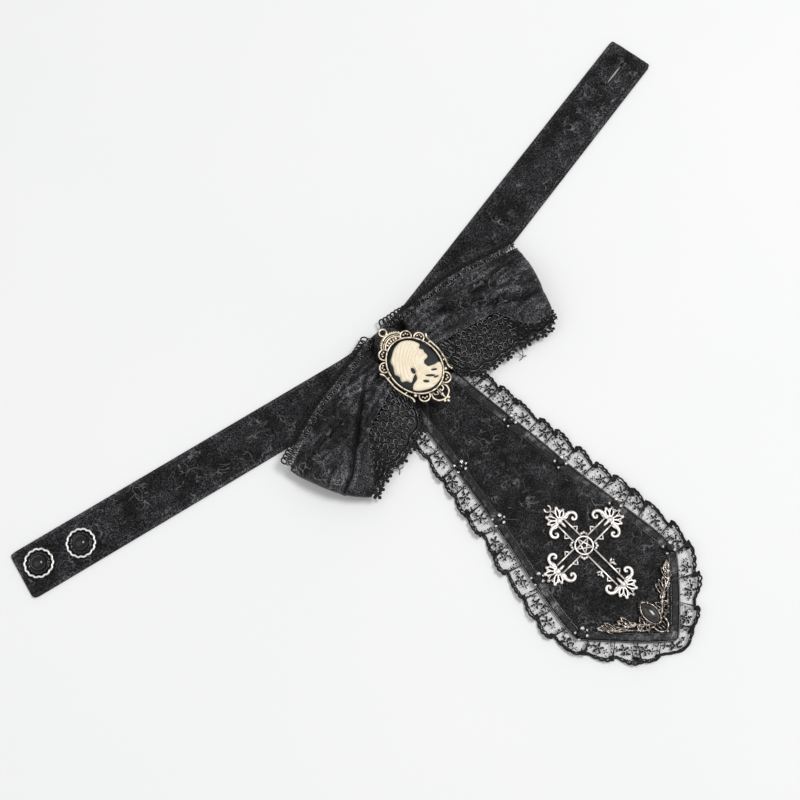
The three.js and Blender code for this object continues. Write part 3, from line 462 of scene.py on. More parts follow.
class Solid:
    """Collects tubes, beads and grids in millimetres, and becomes one piece of the scene.

    What has no coordinates of its own gets mark for both, and a lace cord marked 1 is plain black.
    """

    def __init__(self):
        self.places = []
        self.faces = []
        self.coordinates = []
        self.count = 0
        self.mark = 0.0

    def add(self, places, faces, coordinates=None):
        places = np.asarray(places, float).reshape(-1, 3)
        self.places.append(places)
        self.faces.extend(tuple(int(i) + self.count for i in face) for face in faces)
        if coordinates is None:
            coordinates = np.full((len(places), 2), self.mark)
        self.coordinates.append(np.asarray(coordinates, float).reshape(-1, 2))
        self.count += len(places)

    def tube(self, path, radius, sides=6, closed=False, flat=1.0):
        """A cord along a path; flat squashes it in height."""
        path = np.asarray(path, float)
        count = len(path)
        if closed:
            along = np.roll(path, -1, 0) - np.roll(path, 1, 0)
        else:
            along = np.gradient(path, axis=0)
        along /= np.maximum(np.linalg.norm(along, axis=1, keepdims=True), 1e-9)
        across = np.cross(along, (0, 0, 1))
        steep = np.linalg.norm(across, axis=1) < 0.15
        across[steep] = np.cross(along[steep], (0, 1, 0))
        across /= np.maximum(np.linalg.norm(across, axis=1, keepdims=True), 1e-9)
        up = np.cross(across, along)
        turn = np.arange(sides) / sides * 2 * math.pi
        reach = np.broadcast_to(np.asarray(radius, float), count)[:, None, None]
        level, upright = np.cos(turn)[None, :, None], np.sin(turn)[None, :, None]
        places = path[:, None] + reach * (level * across[:, None] + flat * upright * up[:, None])
        faces = []
        for i in range(count if closed else count - 1):
            j = (i + 1) % count
            for k in range(sides):
                m = (k + 1) % sides
                faces.append((i * sides + k, i * sides + m, j * sides + m, j * sides + k))
        if not closed:
            faces.append(tuple(reversed(range(sides))))
            faces.append(tuple((count - 1) * sides + k for k in range(sides)))
        self.add(places, [tuple(reversed(face)) for face in faces])

    def ball(self, centre, radii, turn=0.0, around=10, rows=6):
        """A bead or petal: a ball stretched to radii and turned about Z."""
        lat = np.linspace(0, math.pi, rows + 1)[1:-1]
        lon = np.arange(around) / around * 2 * math.pi
        x = np.outer(np.sin(lat), np.cos(lon)) * radii[0]
        y = np.outer(np.sin(lat), np.sin(lon)) * radii[1]
        z = np.outer(np.cos(lat), np.ones(around)) * radii[2]
        c, s = math.cos(turn * RAD), math.sin(turn * RAD)
        body = np.stack([c * x - s * y, s * x + c * y, z], -1).reshape(-1, 3)
        ends = np.array([[0, 0, radii[2]], [0, 0, -radii[2]]])
        count = len(body)
        faces = []
        for i in range(rows - 2):
            for k in range(around):
                m = (k + 1) % around
                faces.append((i * around + k, (i + 1) * around + k, (i + 1) * around + m, i * around + m))
        for k in range(around):
            m = (k + 1) % around
            faces.append((count, k, m))
            faces.append((count + 1, (rows - 2) * around + m, (rows - 2) * around + k))
        self.add(np.vstack([body, ends]) + np.asarray(centre, float), faces)

    def sheet(self, places, keep=None, coordinates=None, closed_wall=None):
        """A grid of places; with closed_wall it is two surfaces joined round every edge."""
        rows, columns = places.shape[:2]
        keep = np.ones((rows - 1, columns - 1), bool) if keep is None else keep
        index = np.arange(rows * columns).reshape(rows, columns)
        lower = rows * columns
        cells = [(i, j) for i in range(rows - 1) for j in range(columns - 1) if keep[i, j]]
        faces = []
        for i, j in cells:
            a, b, c, d = index[i, j], index[i + 1, j], index[i + 1, j + 1], index[i, j + 1]
            faces.append((a, b, c, d))
            if closed_wall is None:
                continue
            faces.append((a + lower, d + lower, c + lower, b + lower))
            edges = ((a, b), (b, c), (c, d), (d, a))
            beyond = ((i, j - 1), (i + 1, j), (i, j + 1), (i - 1, j))
            for (p, q), (ni, nj) in zip(edges, beyond):
                joined = 0 <= ni < rows - 1 and 0 <= nj < columns - 1 and keep[ni, nj]
                if not joined:
                    faces.append((q, p, p + lower, q + lower))
        whole = places.reshape(-1, 3)
        if closed_wall is not None:
            whole = np.vstack([whole, closed_wall.reshape(-1, 3)])
        if coordinates is not None:
            coordinates = coordinates.reshape(-1, 2)
            if closed_wall is not None:
                coordinates = np.vstack([coordinates, coordinates])
        self.add(whole, faces, coordinates)

    def piece(self, name, material, replaces, slot, smooth=True):
        """Makes the piece, which rides on the one body and may stand for CAD nodes."""
        mesh = bpy.data.meshes.new(name)
        places = np.vstack(self.places) * MM
        mesh.from_pydata(places.tolist(), [], self.faces)
        layer = mesh.uv_layers.new(name="UVMap")
        corners = np.zeros(len(mesh.loops), int)
        mesh.loops.foreach_get("vertex_index", corners)
        layer.data.foreach_set("uv", np.vstack(self.coordinates)[corners].ravel())
        mesh.polygons.foreach_set("use_smooth", [smooth] * len(mesh.polygons))
        mesh.materials.append(material)
        mesh.update()
        piece = bpy.data.objects.new(name, mesh)
        bpy.context.scene.collection.objects.link(piece)
        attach(piece, "root")
        if replaces:
            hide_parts(*replaces)
        return piece


def thick_sheet(solid, surface, us, vs, wall):
    """A surface of u and v given a thickness along its normals."""
    u, v = np.meshgrid(us, vs, indexing="ij")
    middle = surface(u, v)
    normal = np.cross(np.gradient(middle, axis=0), np.gradient(middle, axis=1))
    normal /= np.maximum(np.linalg.norm(normal, axis=-1, keepdims=True), 1e-9)
    solid.sheet(middle + normal * wall / 2, closed_wall=middle - normal * wall / 2)


def smooth_path(points, steps, closed=False):
    """A curve through the points, evenly spaced."""
    points = np.array([(*p, 0.0)[:3] for p in points], float)
    if closed:
        points = np.vstack([points[-1:], points, points[:2]])
    else:
        points = np.vstack([2 * points[0] - points[1], points, 2 * points[-1] - points[-2]])
    fine = []
    for p0, p1, p2, p3 in zip(points, points[1:], points[2:], points[3:]):
        t = np.linspace(0, 1, 12, endpoint=False)[:, None]
        fine.append(0.5 * (2 * p1 + (p2 - p0) * t + (2 * p0 - 5 * p1 + 4 * p2 - p3) * t**2
                           + (3 * p1 - p0 - 3 * p2 + p3) * t**3))
    fine = np.vstack([*fine, points[-2:-1]])
    run = np.concatenate([[0], np.cumsum(np.linalg.norm(np.diff(fine, axis=0), axis=1))])
    wanted = np.linspace(0, run[-1], steps + 1)
    if closed:
        wanted = wanted[:-1]
    return np.stack([np.interp(wanted, run, fine[:, k]) for k in range(3)], 1)


def arc(cx, cy, radius, start, end, steps, z=0.0):
    """Part of a circle, from start to end in degrees."""
    turn = np.linspace(start, end, steps + 1) * RAD
    return np.stack([cx + radius * np.cos(turn), cy + radius * np.sin(turn), np.full(steps + 1, z)], 1)


def oval(cx, cy, rx, ry, steps, z=0.0):
    """The outline of an oval, without a repeated end point."""
    turn = np.arange(steps) / steps * 2 * math.pi
    return np.stack([cx + rx * np.cos(turn), cy + ry * np.sin(turn), np.full(steps, z)], 1)


def mirrored(path, side):
    """The path itself for side 1, and its mirror image in X for side -1."""
    return path * np.array([side, 1, 1])


# Neck band


def band_point(station, across):
    """Where a place on the flat band, by its run from the middle and its place across, comes to lie."""
    station, across = np.broadcast_arrays(np.asarray(station, float), np.asarray(across, float))
    tilt = np.where(station < 0, BAND_TILT_LEFT, BAND_TILT_RIGHT) * RAD
    bend = np.minimum(np.abs(station), BAND_BEND_RADIUS * tilt)
    angle = bend / BAND_BEND_RADIUS
    rest = np.abs(station) - bend
    side = np.where(station < 0, -1.0, 1.0)
    x = side * (BAND_BEND_RADIUS * np.sin(angle) + rest * np.cos(angle))
    y = BAND_BEND_RADIUS * (1 - np.cos(angle)) + rest * np.sin(angle)
    return np.stack([x - across * np.sin(side * angle), y + across * np.cos(angle)], -1)


def band_top(station, across):
    """Height of the band's top: crushed cloth, rounded edges and a sewn line near each edge."""
    edge = np.maximum(np.abs(across) - 11.2, 0) / 1.3
    end = np.maximum(np.abs(station) - BAND_HALF_LENGTH + 1.3, 0) / 1.3
    seam = np.exp(-(((np.abs(across) - BAND_WIDTH / 2 + SEAM_INSET) / 0.4) ** 2))
    rough = crumple(station, across * 1.6, 15, SEED) - 0.3 + 0.5 * crumple(station, across, 6, SEED + 5)
    flat_near_edge = ease((11.8 - np.abs(across)) / 3)
    height = BAND_THICK - 0.05 + 0.3 * rough * flat_near_edge - 0.22 * seam
    return height - 0.8 * np.maximum(edge, end) ** 2


def hole_cells(stations, acrosses):
    """The band's cells, without those inside the buttonhole."""
    keep = np.ones((len(stations) - 1, len(acrosses) - 1), bool)
    mid_s = (stations[1:] + stations[:-1]) / 2
    mid_a = (acrosses[1:] + acrosses[:-1]) / 2
    within = (np.abs(mid_s - HOLE_STATION) < HOLE_HALF)[:, None] & (np.abs(mid_a) < HOLE_GAP)[None]
    keep[within] = False
    return keep


def make_band():
    """The band: a bent strip with rounded corners and an open slit."""
    inner = np.arange(-210.6, 210.7, 1.3)
    hole = HOLE_STATION + np.linspace(-HOLE_HALF, HOLE_HALF, 13)
    inner = inner[np.abs(inner - HOLE_STATION) > HOLE_HALF + 0.4]
    ends = BAND_HALF_LENGTH - np.array([0, 0.1, 0.35, 0.7])
    stations = np.sort(np.concatenate([-ends, inner, hole, ends]))
    side = np.array([HOLE_GAP, 2, 3.6, 5.2, 6.8, 8.2, 9.3, 9.7, 10, 10.3, 10.8, 11.4, 12, 12.5])
    acrosses = np.concatenate([-side[::-1], side])
    s, a = np.meshgrid(stations, acrosses, indexing="ij")
    slit = np.clip(1 - ((s - HOLE_STATION) / HOLE_HALF) ** 2, 0.02, 1)
    near_slit = (np.abs(s - HOLE_STATION) <= HOLE_HALF) & (np.abs(a) <= HOLE_GAP)
    a = np.where(near_slit, a * np.sqrt(slit), a)
    past = np.clip((np.abs(s) - BAND_HALF_LENGTH + BAND_CORNER) / BAND_CORNER, 0, 1)
    a = a * (1 - BAND_CORNER * (1 - np.sqrt(1 - past**2)) / (BAND_WIDTH / 2))
    flat = band_point(s, a)
    top = np.concatenate([flat, band_top(s, a)[..., None]], -1)
    under = np.concatenate([flat, np.zeros_like(flat[..., :1])], -1)
    solid = Solid()
    solid.sheet(top, hole_cells(stations, acrosses), closed_wall=under)
    band = solid.piece("neck_band_cloth", BAND_VELVET, ["neck_band"], "velvet")


def stitch(solid, start, end, lift, radius=0.14):
    """One sewn stitch: a short thread that dips into the cloth at both ends."""
    start, end = np.asarray(start, float), np.asarray(end, float)
    sunk, raised = np.array([0, 0, 0.15]), np.array([0, 0, lift])
    path = [start - sunk, mix(start, end, 0.25) + raised, mix(start, end, 0.75) + raised, end - sunk]
    solid.tube(path, radius, 5)


def make_band_stitches():
    """Stitches along both edges, across both ends and round the buttonhole."""
    solid = Solid()
    seam = BAND_WIDTH / 2 - SEAM_INSET
    top = BAND_THICK - 0.05
    for across in (-seam, seam):
        for station in np.arange(-208.5, 208, STITCH_PITCH):
            runs = (station, station + STITCH_LENGTH)
            ends = [(*band_point(run, across), float(band_top(run, across))) for run in runs]
            stitch(solid, *ends, 0.12)
    for station in (-209.2, 209.2):
        for across in np.arange(-9.4, 9, STITCH_PITCH):
            ends = [(*band_point(station, a), top) for a in (across, across + STITCH_LENGTH)]
            stitch(solid, *ends, 0.12)
    for k in range(HOLE_STITCHES):
        turn = k / HOLE_STITCHES * 2 * math.pi
        along = (HOLE_HALF + 0.1) * math.cos(turn)
        gap = 0.12 + 0.4 * HOLE_GAP * abs(math.sin(turn)) ** 0.7
        side = 1 if math.sin(turn) >= 0 else -1
        near = band_point(HOLE_STATION + along, side * gap)
        far = band_point(HOLE_STATION + along * 1.12, side * (gap + 1.9))
        stitch(solid, (*near, top), (*far, top), 0.28, 0.24)
    solid.piece("band_stitches", THREAD, (), "velvet")


# Buttons

# Section of a button's centre, as rows of radius, height and depth of its lobes
BUTTON_SECTION = np.array([
    (0.01, 0, 0), (5.4, 0, 0), (5.5, 0.9, 0.3), (5.1, 1.55, 0.55), (4.7, 1.45, 0.5),
    (4.35, 1.2, 0.2), (4.1, 1.6, 0), (3.9, 2.3, 0), (3.5, 3.1, 0), (2.8, 3.8, 0),
    (1.9, 4.25, 0), (1, 4.45, 0), (0.01, 4.5, 0),
])
RIM_STEPS = 192
CENTRE_STEPS = 96


def make_button(number, station, across):
    """A scalloped rim round a domed black centre."""
    x, y = band_point(station, across)
    base = BAND_THICK + 0.3
    turn = np.arange(RIM_STEPS) / RIM_STEPS * 2 * math.pi
    rim = Solid()
    scallop = np.abs(np.sin(BUTTON_SCALLOPS / 2 * turn))
    reach = BUTTON_RADIUS - 1.1 + 0.5 * scallop
    path = np.stack([x + reach * np.cos(turn), y + reach * np.sin(turn), np.full(RIM_STEPS, base + 1.15)], 1)
    rim.tube(path, 0.62, 10, True, 1.1)
    skirt = path.copy()
    skirt[:, 2] = base + 0.35
    rim.tube(skirt, 0.5, 8, True, 0.7)
    rim.piece(f"button_{number}_rim", RIM_METAL, [f"button_rim_{number}"], "button_metal")

    around = np.arange(CENTRE_STEPS) / CENTRE_STEPS * 2 * math.pi
    radius, height, lobe = BUTTON_SECTION.T[:, :, None]
    radius = radius + lobe * (np.abs(np.sin(BUTTON_SCALLOPS / 2 * around)) - 0.5)
    height = base + height * np.ones(CENTRE_STEPS)
    grid = np.stack([x + radius * np.cos(around), y + radius * np.sin(around), height], -1)
    grid = np.concatenate([grid, grid[:, :1]], 1)
    centre = Solid()
    centre.sheet(np.swapaxes(grid, 0, 1))
    weld(centre.piece(f"button_{number}_centre", BUTTON_BLACK, [f"button_centre_{number}"], "button_black"))


def weld(piece):
    """Joins doubled vertices, so that a turned form closes on itself."""
    modifier = piece.modifiers.new("weld", "WELD")
    modifier.merge_threshold = 0.02 * MM


# Bow


def velvet_upper(r):
    """The velvet's upper edge, r out along the loop."""
    return mix(18.0, 23.0, ease((r - 6) / 44))


def velvet_lower(loop, r):
    """The velvet's lower edge: it drops away from the bow's middle."""
    return mix(-2.2, loop["lowest"], ease((r - loop["drop_from"]) / loop["drop_over"]))


def loop_place(loop, r, w, z):
    """Turns a place r out along a loop and w across it into the collar's own frame."""
    droop = loop["droop"] * RAD
    x = loop["side"] * (r * math.cos(droop) + w * math.sin(droop))
    y = LOOP_CENTRE_Y - r * math.sin(droop) + w * math.cos(droop)
    return np.stack(np.broadcast_arrays(x, y, z), -1)


def front_height(loop, r, w):
    """The front layer: it rises from the gathers, with deep folds that fan out from them."""
    side = loop["side"]
    rise = mix(LOOP_FRONT_Z, LOOP_PUFF_Z, ease((r - 8) / 48))
    fan = w * 30 / (r + 18)
    gather = (0.9 * np.sin(fan * 0.95 + side) + 0.5 * np.sin(fan * 2.1 + 2 * side)) * np.exp(-(r - 8) / 24)
    crease_at = mix(12.0, -6.0, np.clip((r - 19) / 49, 0, 1)) + (3 if side > 0 else 0)
    deep, narrow = (5.4, 1.4) if side < 0 else (3.2, 2.2)
    crease = -deep * np.exp(-(((w - crease_at) / narrow) ** 2)) * ease((r - 10) / 20)
    ridge = 1.1 * np.exp(-(((w - crease_at - 4.5) / 3) ** 2)) * ease((r - 14) / 20)
    second_at = mix(6.0, 17.0, np.clip((r - 20) / 45, 0, 1))
    second = -1.7 * np.exp(-(((w - second_at) / 2.2) ** 2)) * ease((r - 16) / 25)
    small = 1.3 * (crumple(r * 0.8, w * 1.8 - 0.3 * r, 13, SEED + 20 + side) - 0.25)
    tiny = 0.45 * (crumple(r, w, 5.5, SEED + 30 + side) - 0.25)
    return rise + gather + crease + ridge + second + (small + tiny) * ease((r - 9) / 12)


def fold_start(loop, v):
    """How far out the fold begins: it is rounded, so it reaches less far at its corners."""
    across = mix(loop["lowest"], 23.0, v) - loop["widest"]
    return loop["reach"] - loop["roundness"] * across**2 - LOOP_FOLD


def loop_surface(loop, u, v):
    """Front layer outwards, round the fold, and the back layer home again."""
    start = fold_start(loop, v)
    turn = np.clip((u - FRONT_END) / (FOLD_END - FRONT_END), 0, 1) * math.pi
    out = mix(LOOP_ROOT, start, np.clip(u / FRONT_END, 0, 1))
    home = mix(start, LOOP_ROOT, np.clip((u - FOLD_END) / (1 - FOLD_END), 0, 1))
    bulge = 1 + 0.035 * np.sin(v * 9 + loop["side"])
    r = np.where(u < FRONT_END, out, np.where(u < FOLD_END, start + LOOP_FOLD * bulge * np.sin(turn), home))
    drop = np.where(u < FRONT_END, 0.0, (1 - np.cos(turn)) / 2)
    w = mix(velvet_lower(loop, r), velvet_upper(r), v)
    top = front_height(loop, np.minimum(r, start), w)
    slump = 1 - 0.35 * (2 * v - 1) ** 2 * ease((r - 20) / 40)
    z = mix(LOOP_BACK_Z + (top - LOOP_BACK_Z) * slump, LOOP_BACK_Z, drop)
    return loop_place(loop, r, w, z)


def edge_height(loop, r, v):
    """Height of the front layer's edge, the lower one for v = 0 and the upper one for v = 1."""
    span = np.clip((r - LOOP_ROOT) / (fold_start(loop, v) - LOOP_ROOT), 0, 1) * FRONT_END
    return loop_surface(loop, span, np.broadcast_to(v, np.shape(span)))[..., 2]


def make_loop(name, loop):
    """One hollow loop of velvet, its faces pointing out on either side of the bow."""
    front = np.linspace(0, FRONT_END, 78)
    fold = np.linspace(FRONT_END, FOLD_END, 18)
    back = np.linspace(FOLD_END, 1, 22)

    def surface(u, v):
        return loop_surface(loop, u, v if loop["side"] > 0 else 1 - v)

    solid = Solid()
    thick_sheet(solid, surface, np.concatenate([front, fold[1:], back[1:]]), np.linspace(0, 1, 64), LOOP_WALL)
    return solid.piece(f"bow_loop_{name}_cloth", BOW_VELVET, [f"bow_loop_{name}"], "velvet")


def make_bow_centre():
    """The gathered middle: a wrapped strip with pinched pleats."""
    turn = np.linspace(0, 2 * math.pi, 97)
    rows = np.linspace(0, 1, 13)
    t, v = np.meshgrid(turn, rows, indexing="ij")
    pleat = 1 + 0.035 * np.sin(t * 11) * np.sin(v * math.pi)
    swell = 1 - 0.12 * (2 * v - 1) ** 4
    x = KNOT_HALF[0] * pleat * swell * np.cos(t)
    y = KNOT_Y + KNOT_HALF[1] * pleat * swell * np.sin(t)
    places = np.stack([x, y, mix(*KNOT_Z, v)], -1)
    solid = Solid()
    solid.sheet(places)
    for height, order in zip(KNOT_Z, (-1, 1)):
        rim = places[:-1, 0 if order < 0 else -1]
        ring = [tuple(range(96))[::order]]
        solid.add(np.column_stack([rim[:, :2], np.full(96, height)]), ring)
    weld(solid.piece("bow_centre_cloth", VELVET, ["bow_centre"], "velvet"))


# Guipure lace


def lace_ends(loop, lower):
    """Where along the loop its lace starts and stops."""
    if lower:
        return loop["lace_from"], fold_start(loop, 0.0) + LOOP_FOLD - 0.5
    return -2.0, fold_start(loop, 1.0) + LOOP_FOLD - 0.4


def lace_outer(loop, r):
    """The lower lace's scalloped outer edge: it widens from the bow's middle and narrows further out."""
    widening = ease((r - loop["lace_from"]) / 12)
    scallop = 1.6 * np.abs(np.sin((r - loop["lace_from"]) * 0.33))
    return mix(-14.0, mix(-24.0, loop["lace_far"], ease((r - 42) / 12)), widening) - scallop * widening


def lace_map(loop, lower):
    """Maps a place on flat lace, run and depth in mm, to where that lace lies on the bow."""
    start, _ = lace_ends(loop, lower)

    def place(run, depth, lift=0.0):
        r = start + np.asarray(run, float)
        depth = np.asarray(depth, float)
        if lower:
            outer = lace_outer(loop, r)
            velvet = velvet_lower(loop, r) - 0.8
            w = outer + (1 - depth / WIDE_LACE) * np.maximum(WIDE_LACE, velvet - outer)
            edge = edge_height(loop, r, 0.0) - 0.7
            share = np.clip((w - outer) / (velvet - outer), 0, 1) ** 1.3
            z = mix(4.6, edge, share) - 0.9 * ease((w - velvet) / 2)
        else:
            w = velvet_upper(r) + depth * (NARROW_LACE + 1) / NARROW_LACE - 0.2
            edge = edge_height(loop, r, 1.0)
            z = mix(edge, np.maximum(LOOP_BACK_Z, edge - 2.4), np.clip(depth / NARROW_LACE, 0, 1))
            z = mix(3.8, z, ease((r - 1) / 9)) - 0.6 * (1 - ease(depth / 1.2))
        return loop_place(loop, r, w, z + lift)

    return place


def lace_ring(solid, place, run, depth, radius):
    """A small ring of cord."""
    turn = np.arange(12) / 12 * 2 * math.pi
    solid.tube(place(run + radius * np.cos(turn), depth + radius * np.sin(turn), 0.1), 0.38, 5, True)


def lace_line(solid, place, points, cord, steps=None):
    """A cord through points on the flat lace."""
    points = np.asarray(points, float)
    count = steps or max(4, int(np.linalg.norm(np.diff(points, axis=0), axis=1).sum() / 0.8))
    path = smooth_path([tuple(p) for p in points], count)
    solid.tube(place(path[:, 0], path[:, 1], 0.05), cord, 5)


def lace_scribble(solid, place, start, end, pitch, swing, middle, tall, cord):
    """A looping cord that crosses itself once every pitch."""
    turn = np.arange(0, (end - start) / pitch * 2 * math.pi, 2 * math.pi / 10)
    run = start + pitch * turn / (2 * math.pi) - swing * np.sin(turn)
    depth = middle - tall * np.cos(turn)
    solid.tube(place(run, depth, 0.1 + 0.12 * np.sin(turn)), cord, 5)


def lace_picot(solid, place, run, depth, size, turn):
    """A small solid flower hanging from the lace's edge."""
    solid.ball(place(run, depth, 0.1), (0.8 * size, 0.8 * size, 0.4), 0, 7, 4)
    for k in range(5):
        a = turn + k / 5 * 2 * math.pi
        petal = place(run + 1.05 * size * math.cos(a), depth + 1.05 * size * math.sin(a), 0.1)
        solid.ball(petal, (0.6 * size, 0.6 * size, 0.42), 0, 7, 4)


def make_lower_lace(name, loop):
    """Wide guipure: close rows of rings over a woven ground, and picots along the scalloped edge."""
    place = lace_map(loop, True)
    solid = Solid()
    rng = np.random.default_rng(SEED + 70 + loop["side"])
    start, end = lace_ends(loop, True)
    long = end - start
    runs, depths = np.meshgrid(np.linspace(0, long, 44), np.linspace(0, 15.6, 20), indexing="ij")
    order = 1 if loop["side"] > 0 else -1
    woven = [place(runs, depths, lift)[:, ::order] for lift in (-0.5, -0.9)]
    solid.sheet(woven[0], closed_wall=woven[1], coordinates=np.ones((*runs.shape, 2)))
    lace_line(solid, place, [(x, 16.1) for x in np.linspace(0, long, 28)], 0.42)
    for row, depth in enumerate(np.arange(0.9, 15.6, 2.45)):
        for run in np.arange(1.2 + 1.5 * (row % 2), long - 0.4, 3.0):
            x, y = run + rng.uniform(-0.35, 0.35), depth + rng.uniform(-0.35, 0.35)
            lace_ring(solid, place, x, y, rng.uniform(1.05, 1.35))
            if rng.random() < 0.3:
                lace_line(solid, place, [(x + 1.2, y), (x + 1.9, y + 1.3)], 0.3, 3)
    solid.mark = 1.0
    for k, run in enumerate(np.arange(1.2, long - 0.2, 4.3)):
        hang = 17.3 + 0.7 * (k % 2) + rng.uniform(-0.3, 0.3)
        lace_picot(solid, place, run, hang, rng.uniform(1.4, 1.75), rng.uniform(0, 1.2))
        for away in (-0.8, 0, 0.8):
            lace_line(solid, place, [(run + away, 15.6), (run + 0.3 * away, hang - 0.5)], 0.5, 3)
    for y in np.arange(4.5, 16, 2.9):
        lace_picot(solid, place, long + 0.6, y, 0.95, rng.uniform(0, 1.2))
    replaced = [f"bow_lace_lower_{name}"]
    return solid.piece(f"bow_lace_lower_{name}_cords", LACE, replaced, "guipure_lace")


def make_upper_lace(name, loop):
    """Narrow lace: looping cords laid over one another, with black loops along the outer edge."""
    place = lace_map(loop, False)
    solid = Solid()
    start, end = lace_ends(loop, False)
    long = end - start
    for depth in (0.2, 2.7):
        lace_line(solid, place, [(x, depth + 0.2 * math.sin(x)) for x in np.linspace(0, long, 60)], 0.3)
    lace_scribble(solid, place, 0.5, long - 0.4, 2.5, 1.2, 1.35, 1.1, 0.33)
    lace_scribble(solid, place, 0.2, long - 0.6, 1.9, 0.95, 2.2, 0.9, 0.3)
    solid.mark = 1.0
    lace_scribble(solid, place, 0.7, long - 0.3, 2.1, 1.0, 4.1, 1.4, 0.42)
    replaced = [f"bow_lace_upper_{name}"]
    return solid.piece(f"bow_lace_upper_{name}_cords", NARROW_LACE_CORD, replaced, "guipure_lace")


def make_lace_tails():
    """Thread ends left hanging from the lace."""
    solid = Solid()
    for x, y, turn, bend in LACE_TAILS:
        path = [(x, y, TAIL_START_Z)]
        for step, z in TAIL_STEPS:
            x, y = x + step * math.cos(turn * RAD), y + step * math.sin(turn * RAD)
            path.append((x, y, z))
            turn += bend
        solid.tube(smooth_path(path, 16), 0.2, 6)
    solid.piece("lace_thread_tails", LACE, (), "guipure_lace")


# Jabot


def panel_row(y):
    """Half width of the panel at a height down it, and how far its middle leans to one side."""
    rows = np.vstack([PANEL_ROWS, (PANEL_POINT[1], 0.9, PANEL_POINT[0])])[::-1]
    return np.interp(y, rows[:, 0], rows[:, 1]), np.interp(y, rows[:, 0], rows[:, 2])


def make_panel():
    """The tie-shaped panel: crushed velvet inside a flat hem."""
    tip = PANEL_POINT[1]
    heights = np.concatenate([np.linspace(PANEL_TOP_Y, -163, 118), np.linspace(-163, tip, 30)[1:]])
    shares = np.sin(np.linspace(-1, 1, 39) * math.pi / 2)
    y, t = np.meshgrid(heights, shares, indexing="ij")
    half, lean = panel_row(y)
    x = t * half
    edge = np.clip((np.abs(x) - half + 1.1) / 1.1, 0, 1)
    inset = half - np.abs(x)
    seam = np.exp(-(((inset - HEADER_WIDTH - 0.7) / 0.5) ** 2))
    rough = crumple(x, y, 17, SEED + 50) - 0.25 + 0.6 * (crumple(x, y, 7, SEED + 60) - 0.2)
    inner = ease((inset - HEADER_WIDTH - 0.6) / 4)
    z = PANEL_THICK - 0.03 + 0.35 * rough * inner - 0.2 * seam - 0.7 * edge**2
    z = np.where(inset < HEADER_WIDTH, np.minimum(z, PANEL_THICK), z)
    top = np.stack([x + lean, y, z], -1)
    under = np.stack([x + lean, y, np.zeros_like(z)], -1)
    solid = Solid()
    solid.sheet(top[::-1], closed_wall=under[::-1])
    panel = solid.piece("jabot_panel_cloth", VELVET, ["jabot_panel"], "velvet")


class Hem:
    """The panel's hem as one curve by distance run: down the left, round the point, up the right."""

    def __init__(self, start_y):
        half, lean = panel_row(start_y)
        rows = [(start_y, half, lean), *(row for row in PANEL_ROWS if row[0] < start_y)]
        left = [(lean - half, y) for y, half, lean in rows]
        right = [(lean + half, y) for y, half, lean in reversed(rows)]
        self.path = smooth_path([*left, PANEL_POINT, *right], 900)[:, :2]
        self.run = np.concatenate([[0], np.cumsum(np.linalg.norm(np.diff(self.path, axis=0), axis=1))])
        along = np.gradient(self.path, axis=0)
        along /= np.linalg.norm(along, axis=1, keepdims=True)
        kernel = np.hanning(41) / np.hanning(41).sum()
        padded = np.pad(along, ((20, 20), (0, 0)), mode="edge")
        self.along = np.stack([np.convolve(padded[:, k], kernel, "valid") for k in (0, 1)], 1)
        self.length = self.run[-1]

    def at(self, run, outward, z):
        """A place beside the hem, outward of it where outward is positive."""
        run = np.clip(run, 0, self.length)
        x, y = (np.interp(run, self.run, self.path[:, k]) for k in (0, 1))
        ax, ay = (np.interp(run, self.run, self.along[:, k]) for k in (0, 1))
        size = np.hypot(ax, ay)
        return np.stack(np.broadcast_arrays(x + ay / size * outward, y - ax / size * outward, z), -1)


HEM = Hem(RUFFLE_START_Y)
PLEATS = round(HEM.length / RUFFLE_PLEAT)
PITCH = HEM.length / PLEATS
PLEAT_SHIFTS = np.random.default_rng(SEED + 4).uniform(-0.14, 0.14, PLEATS - 1)
PLEAT_STARTS = PITCH * (np.arange(PLEATS + 1) + np.pad(PLEAT_SHIFTS, 1))

# One knife pleat: share of the pitch run along the hem, height share of the layer, and how far the
# cloth is let out beyond the pleats beside it
PLEAT_LAYERS = np.array([
    (0.0, 0.1, 0.1), (0.25, 0.22, 0.55), (0.55, 0.5, 0.95), (0.85, 0.85, 1.0),
    (1.04, 1.0, 0.75), (1.1, 0.96, 0.6), (1.07, 0.85, 0.55), (0.98, 0.6, 0.5),
    (0.91, 0.4, 0.35), (0.9, 0.25, 0.2), (0.94, 0.13, 0.1),
])
PLEAT_COLUMNS = 20


def ruffle_columns():
    """Every column of the gathered net: run, height share, slant, how far let out, and cloth used so far."""
    rng = np.random.default_rng(SEED + 3)
    columns = []
    used = 0.0
    for start, end in zip(PLEAT_STARTS, PLEAT_STARTS[1:]):
        spread, lean, stand = rng.uniform(0.8, 1.2), rng.uniform(-2.4, 2.7), rng.uniform(0.5, 1.15)
        layers = PLEAT_LAYERS * (end - start, 3 * spread, 1)
        points = smooth_path([tuple(p) for p in layers], PLEAT_COLUMNS)
        steps = np.hypot(*np.diff(points[:, :2], axis=0).T)
        cloth = used + np.concatenate([[0], np.cumsum(steps)])
        for (along, height, let_out), drawn in zip(points[:-1], cloth):
            columns.append((start + along, height / 3, lean, stand * let_out, drawn))
        used = float(cloth[-1])
    return np.array(columns)


